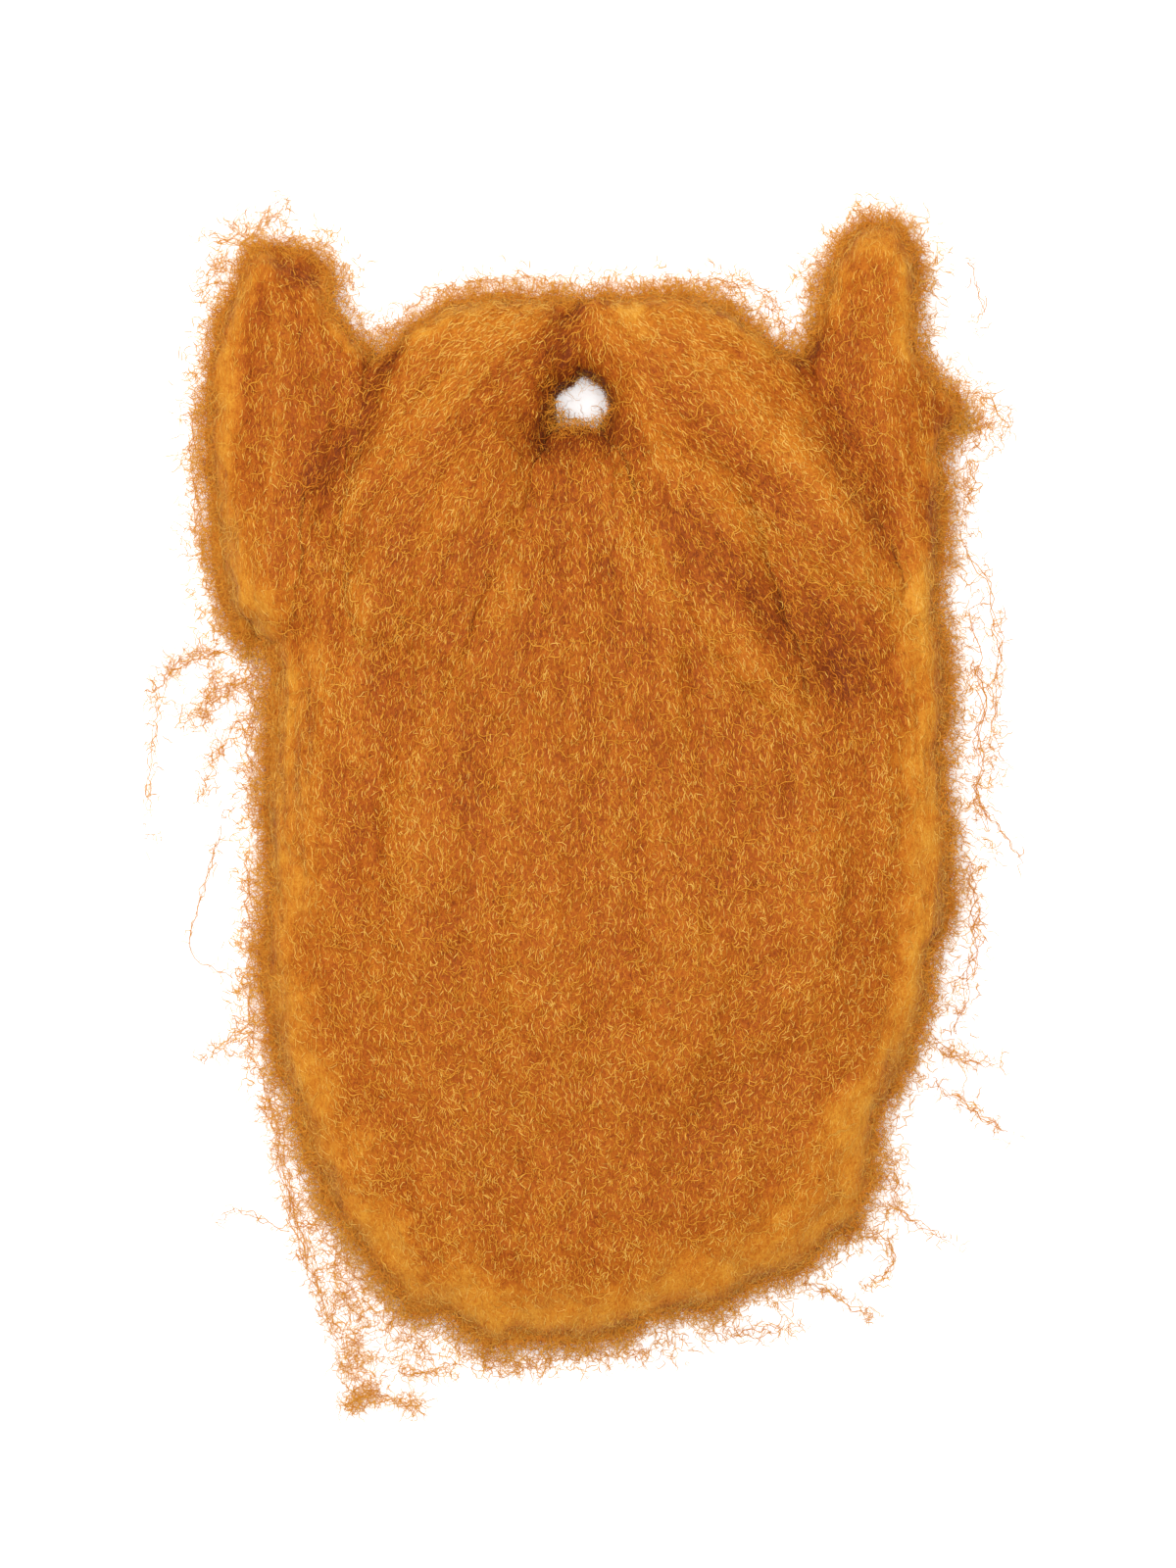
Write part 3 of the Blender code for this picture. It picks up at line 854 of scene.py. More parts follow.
@dataclass
class FibreBody:
    """The dense felted mass of one part of the beard, under the fibres that the eye can pick out."""

    node: str
    slot: Slot
    voxel: float = 2.4 * MM
    ease: int = 5
    closing: float = 2.4 * MM
    dip: float = 0.8 * MM
    swell: float = 1.2 * MM
    steep_swell: float = 1.6
    inset: float = 2.5 * MM
    uneven: float = 0.9 * MM
    point_draw: float = 6 * MM
    notch_draw: float = 2.5 * MM
    shoulder_drop: float = 0.24
    plump_way: tuple[float, float, float] = (1.0, 1.0, 0.15)
    lump_height: float = 0.35 * MM
    ridge_height: float = 1.6 * MM
    streak_height: float = 0.45 * MM

    def felt(self, source: bpy.types.Object) -> None:
        """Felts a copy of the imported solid: it is merged, remeshed in even voxels and eased.

        Between two remeshes it is swollen and shrunk by the same amount, which closes narrow grooves.

        Args:
            source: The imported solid's object.
        """
        mesh = source.data.copy()
        work = bmesh.new()
        work.from_mesh(mesh)
        bmesh.ops.remove_doubles(work, verts=work.verts, dist=0.01 * MM)
        work.to_mesh(mesh)
        work.free()
        mesh.materials.clear()
        rough = bpy.data.objects.new("rough", mesh)
        bpy.context.scene.collection.objects.link(rough)
        for swollen in (self.closing, -self.closing):
            self.remesh(rough)
            press = rough.modifiers.new("press", "DISPLACE")
            press.mid_level = 0
            press.strength = swollen
        done = self.eased(rough, self.ease)
        bpy.data.objects.remove(rough)
        self.piece = bpy.data.objects.new(self.node + "_body", done)
        bpy.context.scene.collection.objects.link(self.piece)
        self.take(done)

    def felt_again(self) -> None:
        """Felts the settled body once more in even voxels, which takes out its folds and stretched faces."""
        self.remesh(self.piece)
        done = self.eased(self.piece, 2)
        self.piece.modifiers.clear()
        folded = self.piece.data
        self.piece.data = done
        bpy.data.meshes.remove(folded)
        self.take(done)

    def remesh(self, rough: bpy.types.Object) -> None:
        """Adds a remesh in even voxels to an object's modifiers.

        Args:
            rough: The object.
        """
        felt = rough.modifiers.new("felt", "REMESH")
        felt.mode = "VOXEL"
        felt.voxel_size = self.voxel

    def eased(self, rough: bpy.types.Object, turns: int) -> bpy.types.Mesh:
        """Eases an object after its other modifiers, so many times over, and gives the mesh they all make.

        Args:
            rough: The object.
            turns: How many times.

        Returns:
            The new mesh.
        """
        ease = rough.modifiers.new("ease", "SMOOTH")
        ease.factor = 0.5
        ease.iterations = turns
        graph = bpy.context.evaluated_depsgraph_get()
        return bpy.data.meshes.new_from_object(rough.evaluated_get(graph))

    def take(self, done: bpy.types.Mesh) -> None:
        """Names and smooths the body's new mesh and reads it.

        Args:
            done: The body's new mesh.
        """
        done.name = self.node + "_body"
        done.polygons.foreach_set("use_smooth", np.ones(len(done.polygons), dtype=bool))
        self.read()

    def write(self, points: np.ndarray) -> None:
        """Puts new places into the mesh, none of them under the floor, and reads it back.

        Args:
            points: The new places of the body's vertices.
        """
        points[:, 2] = np.maximum(points[:, 2], 0)
        self.piece.data.vertices.foreach_set("co", points.ravel())
        self.piece.data.update()
        self.read()

    def settle(self, relief: Relief) -> None:
        """Lets the body sink into its neighbours, so that no seam shows, and draws its edge in.

        A vertex at height z under its own body's top of height H moves by (eased height of the whole beard
        - H) times (z / H) squared, up only where it is well inside the outline. A body that dips under
        another follows it a little, just below. Well inside the outline it swells along its normal, most
        where it is steep, so that neighbours' sides meet. Near the outline it is drawn in unevenly, further
        at a pointed end and less in a notch, and its shoulder drops. The table of pares draws it in further,
        or plumps it along its normal, mostly over the floor.

        Args:
            relief: The form of all the bodies from above.
        """
        own = np.maximum(relief.grid.read(relief.tops(self.tops(5)), self.points), 2 * MM)
        covered = relief.grid.read(relief.height, self.points) - own
        hidden = smooth_step(0.8 * MM, 2.5 * MM, covered)
        follow = 1 - hidden * smooth_step(5 * MM, 11 * MM, covered)
        share = np.clip(self.points[:, 2] / own, 0, 1)
        points = self.points.copy()
        rise = relief.grid.read(relief.eased, self.points) - own - self.dip * hidden
        depth = relief.grid.read(relief.depth, self.points)
        rise = np.minimum(rise, 0) + np.maximum(rise, 0) * smooth_step(4 * MM, 15 * MM, depth)
        points[:, 2] += rise * share**2 * follow
        slope = np.sqrt(np.clip(1 - self.normals[:, 2] ** 2, 0, 1))
        steep = 1 + self.steep_swell * slope * smooth_step(14 * MM, 24 * MM, depth)
        points += self.normals * (self.swell * steep * smooth_step(3 * MM, 8 * MM, depth))[:, None]
        pointed = relief.grid.read(relief.pointed, points)
        free = clear_of_mouth(points, 14 * MM, 24 * MM)
        drawn = (self.inset + self.uneven * Lumps(9 * MM, 14).at(points[:, :2])) * (0.4 + 0.6 * free)
        ends = self.point_draw * smooth_step(0.03, 0.16, pointed)
        ends -= self.notch_draw * smooth_step(0.06, 0.20, -pointed)
        drawn += free * (1 - smooth_step(0.130, 0.150, points[:, 1])) * ends
        plump = np.zeros(len(points))
        for pare in PARES:
            amount = pare.amount * nearness(points, pare.across, pare.down, pare.reach)
            drawn += np.maximum(amount, 0)
            plump -= np.minimum(amount, 0)
        points -= relief.outward(points) * (drawn * (1 - smooth_step(0, 12 * MM, depth)))[:, None]
        points[:, 2] *= 1 - self.shoulder_drop * free * (1 - smooth_step(0, 13 * MM, depth))
        points += self.normals * np.array(self.plump_way) * plump[:, None]
        self.write(points)

    def comb(self, survey: Survey) -> None:
        """Heaps and parts the body: each vertex moves along its normal by strokes, streaks and soft lumps.

        Args:
            survey: The comb's strokes and the streaks.
        """
        free = smooth_step(1 * MM, 7 * MM, self.points[:, 2])
        rise = self.ridge_height * survey.combed.heaped(self.points)
        rise += self.streak_height * survey.streaks.at(self.points)
        lumps = Lumps(16 * MM, 11).at(self.points) + 0.4 * Lumps(6 * MM, 12).at(self.points)
        rise += self.lump_height * lumps
        self.write(self.points + self.normals * (rise * free)[:, None])

    def read(self) -> None:
        """Keeps the body's vertices, normals and triangles as arrays."""
        mesh = self.piece.data
        self.points = np.empty(len(mesh.vertices) * 3)
        self.normals = np.empty(len(mesh.vertices) * 3)
        mesh.vertices.foreach_get("co", self.points)
        mesh.vertices.foreach_get("normal", self.normals)
        self.points, self.normals = self.points.reshape(-1, 3), self.normals.reshape(-1, 3)
        mesh.calc_loop_triangles()
        self.triangles = np.empty(len(mesh.loop_triangles) * 3, dtype=np.int32)
        mesh.loop_triangles.foreach_get("vertices", self.triangles)
        self.triangles = self.triangles.reshape(-1, 3)

    def strew(self, count: int, seed: int, weights: np.ndarray) -> tuple[np.ndarray, np.ndarray]:
        """Strews roots over the body in proportion to area, as evenly as the chances allow.

        Args:
            count: How many roots.
            seed: The seed of the draw.
            weights: A factor a triangle.

        Returns:
            The roots' places and the body's unit normals there.
        """
        dice = np.random.default_rng(seed)
        a, b, c = (self.points[self.triangles[:, i]] for i in range(3))
        area = np.linalg.norm(np.cross(b - a, c - a), axis=1)
        chance = area * weights
        places = (np.arange(count) + dice.uniform(size=count)) / count
        found = np.searchsorted(np.cumsum(chance) / chance.sum(), places)
        picks = self.triangles[np.minimum(found, len(area) - 1)]
        one, two = np.sqrt(dice.uniform(size=count)), dice.uniform(size=count)
        shares = np.stack([1 - one, one * (1 - two), one * two], axis=1)[:, :, None]
        return (self.points[picks] * shares).sum(axis=1), unit((self.normals[picks] * shares).sum(axis=1))

    def tops(self, seed: int) -> np.ndarray:
        """Strews places over the faces that look up, for the relief.

        Args:
            seed: The seed of the draw.

        Returns:
            The places.
        """
        return self.strew(260000, seed, (self.middle()[1][:, 2] > 0.05) + 1e-9)[0]

    def middle(self) -> tuple[np.ndarray, np.ndarray]:
        """Gives the middle of each triangle and its vertices' mean normal."""
        return self.points[self.triangles].mean(axis=1), unit(self.normals[self.triangles].mean(axis=1))

    def dress(self, survey: Survey, finish: bpy.types.Material) -> None:
        """Tones the body, gives it its fibre finish and puts it in the solid's place.

        Args:
            survey: The comb's strokes, the streaks and the form from above.
            finish: The fibre material.
        """
        relief = survey.relief
        # Painted shade on the body under the fibre cover, less so in the edge band.
        tone = surface_tone(self.points, survey) - TONES.under_cover_shade * (1 - rim_share(self.points, relief))
        edge = 1 - smooth_step(4 * MM, 14 * MM, relief.grid.read(relief.depth, self.points))
        # Painted light on the steep side walls near the outline.
        tone += TONES.side * edge * (1 - np.clip(self.normals[:, 2], 0, 1))
        layer = self.piece.data.attributes.new("tone", "FLOAT", "POINT")
        layer.data.foreach_set("value", tone.astype(np.float32))
        hand_in(self.piece, finish)
        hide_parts(self.node)


def rim_share(points: np.ndarray, relief: Relief) -> np.ndarray:
    """Gives how far each point belongs to the smooth band round the outline: 1 at the edge, 0 well inside.

    The band is 20 mm wide round the chin, 8 mm round the top, 15 mm at the left side, 17 mm at the right knob
    and up to 36 mm at the low right corner, uneven by a few millimetres, and there is none at the mouth.

    Args:
        points: Places on the beard.
        relief: The beard's form from above.

    Returns:
        The share at each point, from 0 to 1.
    """
    high = smooth_step(0.060, 0.110, points[:, 1])
    low = smooth_step(-0.120, -0.165, points[:, 1])
    corner = nearness(points, 835, 1235, 26 * MM)
    uneven = (2.0 - 0.8 * high) * MM * Lumps(30 * MM, 31).at(points[:, :2])
    uneven += (1.6 - 0.8 * high) * MM * Lumps(7 * MM, 32).at(points[:, :2])
    left = smooth_step(-0.088, -0.108, points[:, 0]) * high
    knob = nearness(points, 905, 250, 14 * MM)
    width = (20 - 12 * high + 6 * low + 10 * corner + 7 * left + 9 * knob) * MM
    band = 1 - smooth_step(0.35, 1.05, (relief.grid.read(relief.depth, points) + uneven) / width)
    return band * clear_of_mouth(points, 13 * MM, 24 * MM)


def surface_tone(points: np.ndarray, survey: Survey) -> np.ndarray:
    """Works out the tone of the beard at points.

    The smooth band is lighter with painted light that shines through its thin fibre, ridges are lighter with
    a painted highlight, and light streaks are lighter. A place is darker with painted shade by its hollow in
    millimetres, below the lip and in a crease, and darker in dark streaks. Ridges, creases and streaks tell
    most over the cheeks. Lumps of 30 mm, 11 mm (in the band) and 9 mm are added.

    Args:
        points: Places on the beard.
        survey: The comb's strokes, the streaks and the form from above.

    Returns:
        The tone at each point, from 0, deep, to 1, crest.
    """
    relief = survey.relief
    rim = rim_share(points, relief)
    hollow = np.clip(relief.grid.read(relief.hollow, points) / MM, -2, 4)
    heap = survey.combed.heaped(points)
    shade = nearness(points, 600, 600, 50 * MM)
    cheeks = smooth_step(0.000, 0.060, points[:, 1])
    # Painted light in the edge band; painted shade by hollow and below the lip.
    tone = TONES.surface + TONES.rim * rim - TONES.hollow * hollow * (1 - 0.7 * rim) - TONES.lip_shade * shade
    # Painted highlight on ridges and painted shade in creases.
    tone += np.where(heap > 0, TONES.ridge, TONES.crease) * heap * (1 + TONES.cheek_gain * cheeks)
    tone += (TONES.streak + TONES.cheek_streak * cheeks) * (1 - 0.3 * rim) * survey.streaks.at(points)
    flat = points[:, :2]
    tone += TONES.patch * Lumps(30 * MM, 41).at(flat) + TONES.rim_patch * rim * Lumps(11 * MM, 43).at(flat)
    return tone + TONES.patch * (1 - rim) * Lumps(9 * MM, 42).at(flat)


@dataclass
class FibreCover:
    """Short kinked fibres that rise out of a body and dip back into it, each like one wave of crimp.

    They are two to four times as wide as a real filament, which would be too fine to show.
    """

    name: str
    seed: int
    length: tuple[float, float] = (2.0 * MM, 4.8 * MM)
    width: tuple[float, float] = (0.20 * MM, 0.31 * MM)
    lift: float = 0.9 * MM
    sunk: float = 0.35 * MM
    bow: float = 0.16
    wander: float = 0.05
    stray: tuple[float, float] = (0.26, 0.50)
    # Painted light and shade by how high a fibre is lifted.
    painted_lift_shading: float = 0.36
    fibre_tone: float = 0.19
    # Painted highlight on each fibre's crest.
    painted_crest_highlight: float = 0.54
    rungs: int = 4

    def build(self, roots: np.ndarray, normals: np.ndarray, survey: Survey) -> bpy.types.Object:
        """Grows the cover.

        A fibre runs from -1/2 to 1/2 of its length along the lie of the hair, turned by a random stray that
        is small over the lip and cheeks and greater on the felted chin. It bows aside by 4s(1 - s) times
        about a sixth of its length and lifts by 4s(1 - s) less its sunken ends.

        Args:
            roots: The fibres' middles on the body.
            normals: The body's normals there.
            survey: The comb's strokes, the streaks and the form from above.

        Returns:
            The piece.
        """
        dice = np.random.default_rng(self.seed)
        count = len(roots)
        rim = rim_share(roots, survey.relief)
        upward = smooth_step(0.35, 0.85, normals[:, 2])
        calm = 1 - 0.38 * rim * upward
        loose = smooth_step(0.030, -0.070, roots[:, 1])
        turn = dice.normal(0, 1, count) * (self.stray[0] + (self.stray[1] - self.stray[0]) * loose)
        astray = dice.uniform(size=count) < 0.10 + 0.12 * loose
        turn = np.where(astray, dice.uniform(-1.5, 1.5, count), turn)[:, None]
        along, aside = survey.combed.over(normals, roots, turn)
        length = dice.uniform(*self.length, count) * (1 + 0.3 * rim)
        width = dice.uniform(*self.width, count) * (1 - 0.25 * rim)
        bow = dice.normal(0, self.bow, count) * length
        level = dice.uniform(0, 1, count)
        lift = self.lift * (0.25 + 1.0 * level) * (1 - 0.35 * rim * upward) * (1.7 - 0.7 * upward)
        s = np.linspace(0, 1, self.rungs)[None, :, None]
        wander = dice.normal(0, self.wander, (count, self.rungs, 1)) * length[:, None, None]
        centres = roots[:, None, :] + along[:, None, :] * (s - 0.5) * length[:, None, None]
        centres = centres + aside[:, None, :] * (bow[:, None, None] * (arch(s) - 0.6) + wander)
        centres = centres + normals[:, None, :] * (lift[:, None, None] * arch(s) - self.sunk)
        crest = arch(np.linspace(0, 1, self.rungs)[None, :])
        # Painted light and shade: a fibre lifted higher is lighter, one lying low darker; the rest is the
        # fibre's own random tone.
        uneven = self.painted_lift_shading * (level - 0.5) + dice.normal(0, self.fibre_tone, count)
        tone = surface_tone(roots, survey) + uneven * calm
        # Painted highlight on each fibre's crest, painted shade towards its sunken ends.
        tones = tone[:, None] + self.painted_crest_highlight * (crest - 0.55) * calm[:, None]
        widths = width[:, None] * (0.35 + 0.65 * crest)
        return Strands(centres, widths, tones, normals, dice.normal(0, 0.35, count)).mesh(self.name)


def walk(
    starts: np.ndarray,
    along: np.ndarray,
    aside: np.ndarray,
    length: np.ndarray,
    rungs: int,
    dice: np.random.Generator,
    curl: float,
    crimp: float,
    wave: float,
) -> np.ndarray:
    """Walks hairs over the surface that two directions span.

    The heading at distance d along a hair is curl times d over its length, plus crimp times
    sin(2 pi d / wave + phase). The steps are summed from the start.

    Args:
        starts: Where each hair starts.
        along: The unit direction that each sets out in.
        aside: The unit direction beside it.
        length: Each hair's length.
        rungs: Points a hair.
        dice: The random source.
        curl: Spread of the whole turn, in radians.
        crimp: Height of the crimp's swing, in radians.
        wave: The crimp's wavelength, in metres.

    Returns:
        The centre lines, one row a hair.
    """
    count = len(starts)
    s = np.linspace(0, 1, rungs)[None, :]
    turn = dice.normal(0, curl, (count, 1)) * s
    waves = length[:, None] / (wave * dice.uniform(0.7, 1.4, (count, 1)))
    turn = turn + crimp * np.sin(2 * np.pi * (waves * s + dice.uniform(0, 1, (count, 1))))
    step = (length / (rungs - 1))[:, None, None]
    moves = along[:, None, :] * np.cos(turn)[:, :, None] + aside[:, None, :] * np.sin(turn)[:, :, None]
    moves = moves * step
    moves[:, 0] = 0
    return starts[:, None, :] + np.cumsum(moves, axis=1)


@dataclass
class LooseHairs:
    """Longer pale hairs that lie loose over the face of the beard."""

    name: str = "loose_hairs"
    count: int = 1300
    seed: int = 71
    rungs: int = 11

    def build(self, roots: np.ndarray, normals: np.ndarray, survey: Survey) -> bpy.types.Object:
        """Grows the hairs.

        Args:
            roots: Where each hair starts.
            normals: The body's normals there.
            survey: The comb's strokes, the streaks and the form from above.

        Returns:
            The piece.
        """
        dice = np.random.default_rng(self.seed)
        count = len(roots)
        along, aside = survey.combed.over(normals, roots, dice.uniform(-1.5, 1.5, count)[:, None])
        length = dice.uniform(6 * MM, 15 * MM, count)
        centres = walk(roots, along, aside, length, self.rungs, dice, 1.3, 0.55, 5 * MM)
        s = np.linspace(0, 1, self.rungs)[None, :]
        relief = survey.relief
        under = relief.grid.read(relief.height, centres.reshape(-1, 3)).reshape(centres.shape[:2])
        lift = 0.6 * MM + 0.9 * MM * np.sin(np.pi * s)
        centres[..., 2] = np.maximum(under + lift, 0.4 * MM)
        # Painted glints: the tone swings lighter and darker twice along each hair.
        tone = surface_tone(roots, survey)[:, None] + TONES.loose + 0.05 * np.sin(4 * np.pi * s)
        widths = dice.uniform(0.26 * MM, 0.36 * MM, count)[:, None] * (0.4 + 0.6 * np.sin(np.pi * s))
        return Strands(centres, widths, tone, normals, dice.normal(0, 0.3, count)).mesh(self.name)


@dataclass
class EdgeFuzz:
    """The soft edge: a hem of fine hairs over the outline that thins to a web, and hairs that stand out."""

    name: str = "edge_fuzz"
    rooted: int = 2000
    hem: int = 28000
    seed: int = 81
    standing_rungs: int = 8
    hem_rungs: int = 4
    field_half: tuple[float, float, float] = (0.146, 0.205, 0.0)

    def build(self, roots: np.ndarray, relief: Relief) -> bpy.types.Object:
        """Grows the fuzz.

        Args:
            roots: Places on the bodies near the outline.
            relief: The beard's form from above.

        Returns:
            The piece.
        """
        dice = np.random.default_rng(self.seed)
        return join_strands(self.name, [self.standing(roots, relief, dice), self.hemmed(relief, dice)])

    def tufts(self, points: np.ndarray, low: float, high: float) -> np.ndarray:
        """Gives 0 to 1, for thin to thick, in tufts of 12 mm: soft unevenness stepped from low to high."""
        return smooth_step(low, high, Lumps(12 * MM, 83).at(points[:, :2]))

    def standing(self, roots: np.ndarray, relief: Relief, dice: np.random.Generator) -> Strands:
        """Grows hairs that set out from the edge away from the beard and curl, thicker in tufts.

        Args:
            roots: Places on the bodies near the outline.
            relief: The beard's form from above.
            dice: The random source.

        Returns:
            The hairs.
        """
        thick = self.tufts(roots, -1.3, 1.3)
        roots = roots[dice.uniform(size=len(roots)) < 0.2 + 0.8 * thick][: self.rooted]
        count = len(roots)
        up = upright(count)
        out = relief.outward(roots)
        turn = dice.normal(0, 0.95, count)[:, None]
        along = out * np.cos(turn) + np.cross(up, out) * np.sin(turn)
        length = dice.uniform(3 * MM, 7 * MM, count) * (0.8 + 0.8 * self.tufts(roots, -1.3, 1.3))
        lines = walk(
            roots, along, np.cross(up, along), length, self.standing_rungs, dice, 2.0, 0.6, 4.5 * MM
        )
        s = np.linspace(0, 1, self.standing_rungs)[None, :]
        fall = roots[:, 2][:, None] * (1 - 0.35 * s) + dice.normal(0.8 * MM, 1.6 * MM, (count, 1)) * s
        lines[..., 2] = np.maximum(fall, 0.5 * MM)
        widths = dice.uniform(0.14 * MM, 0.22 * MM, count)[:, None] * (1 - 0.6 * s)
        tones = TONES.standing + dice.normal(0, 0.08, (count, 1)) + 0 * s
        return Strands(lines, widths, tones, up, dice.normal(0, 0.4, count))

    def hemmed(self, relief: Relief, dice: np.random.Generator) -> Strands:
        """Lays short curled hairs over the outline, in all directions.

        A hair lies at a place drawn from 6 mm inside the outline to 11 mm outside. The chance falls as
        exp(-distance / reach) outside it, where the reach is 2.3 to 5.2 mm in tufts, and half as much again
        at the bottom, and it thins to the lines of a web. Its height is the beard's own inside, and outside
        it is a random share of the edge's, less the further out it lies.

        Args:
            relief: The beard's form from above.
            dice: The random source.

        Returns:
            The hairs.
        """
        trial = dice.uniform(-1, 1, (self.hem * 30, 3)) * np.array(self.field_half)
        beyond = -relief.grid.read(relief.depth, trial) / MM
        near = (beyond > -6) & (beyond < 11)
        trial, beyond = trial[near], beyond[near]
        reach = 2.3 + 2.9 * self.tufts(trial, -1.5, 1.2)
        reach = reach * (1 + 0.45 * smooth_step(-0.110, -0.160, trial[:, 1]))
        chance = np.exp(-np.maximum(beyond, 0) / reach) * web_lines(trial, np.clip(beyond / 6 - 0.2, 0, 1))
        chance = chance * smooth_step(-5.5, -0.5, beyond) * clear_of_mouth(trial, 8 * MM, 14 * MM)
        taken = dice.uniform(size=len(trial)) < chance
        places, beyond = trial[taken][: self.hem], beyond[taken][: self.hem]
        count = len(places)
        top = relief.grid.read(relief.height, places - relief.outward(places) * 2 * MM)
        share = dice.uniform(0.15, 1.0, count) ** 0.7 * np.clip(1.05 - beyond / 8, 0.2, 1)
        inside = smooth_step(0.5, -2.0, beyond)
        near_top = relief.grid.read(relief.height, places) + dice.uniform(0.2 * MM, 1.0 * MM, count)
        places[:, 2] = np.maximum(top * share * (1 - inside) + near_top * inside, 0.6 * MM)
        along, up = any_way(count, dice), upright(count)
        length = dice.uniform(2 * MM, 5 * MM, count)
        lines = walk(places, along, np.cross(up, along), length, self.hem_rungs, dice, 2.2, 0.4, 4 * MM)
        s = np.linspace(0, 1, self.hem_rungs)[None, :]
        widths = dice.uniform(0.16 * MM, 0.28 * MM, count)[:, None] * (0.5 + 0.5 * np.sin(np.pi * s))
        # Painted light: the hem is lighter where it lies out over the floor, as light shines through its thin
        # hairs.
        lighter = TONES.painted_hem_glow * smooth_step(-2.5, 2.5, beyond)[:, None]
        tones = TONES.hem + lighter + dice.normal(0, 0.08, (count, 1)) + 0 * s
        return Strands(lines, widths, tones, up, dice.normal(0, 0.4, count))


def web_lines(points: np.ndarray, clearness: np.ndarray) -> np.ndarray:
    """Gives the chance of a fibre at places in a web: 1 along its lines and little in its holes.

    The lines are where soft unevenness of 9 mm crosses zero, exp(-(value / 0.34) squared), and fainter and
    finer ones where unevenness of 6 mm does. A hole keeps 0.06 of the chance.

    Args:
        points: Places, of which x and y are used.
        clearness: How clear the holes are, from 0, no web, to 1, almost empty.

    Returns:
        The chance at each place.
    """
    lines = np.exp(-((Lumps(9 * MM, 86).at(points[:, :2]) / 0.34) ** 2))
    lines = np.maximum(lines, 0.8 * np.exp(-((Lumps(6 * MM, 87).at(points[:, :2]) / 0.22) ** 2)))
    return 1 - clearness * (1 - 0.06 - 0.94 * lines)


def join_strands(name: str, parts: list[Strands]) -> bpy.types.Object:
    """Makes one piece of several sets of strands.

    Args:
        name: The piece's name.
        parts: The sets.

    Returns:
        The joined object.
    """
    pieces = [part.mesh(name) for part in parts]
    with bpy.context.temp_override(active_object=pieces[0], selected_editable_objects=pieces):
        bpy.ops.object.join()
    return pieces[0]


@dataclass(frozen=True)
class Wisp:
    """One loose wisp: its path in picture pixels, its long hairs, its spread and its netted short hairs."""

    path: tuple[tuple[float, float], ...]
    hairs: int = 4
    spread: float = 1.5 * MM
    netted: int = 60


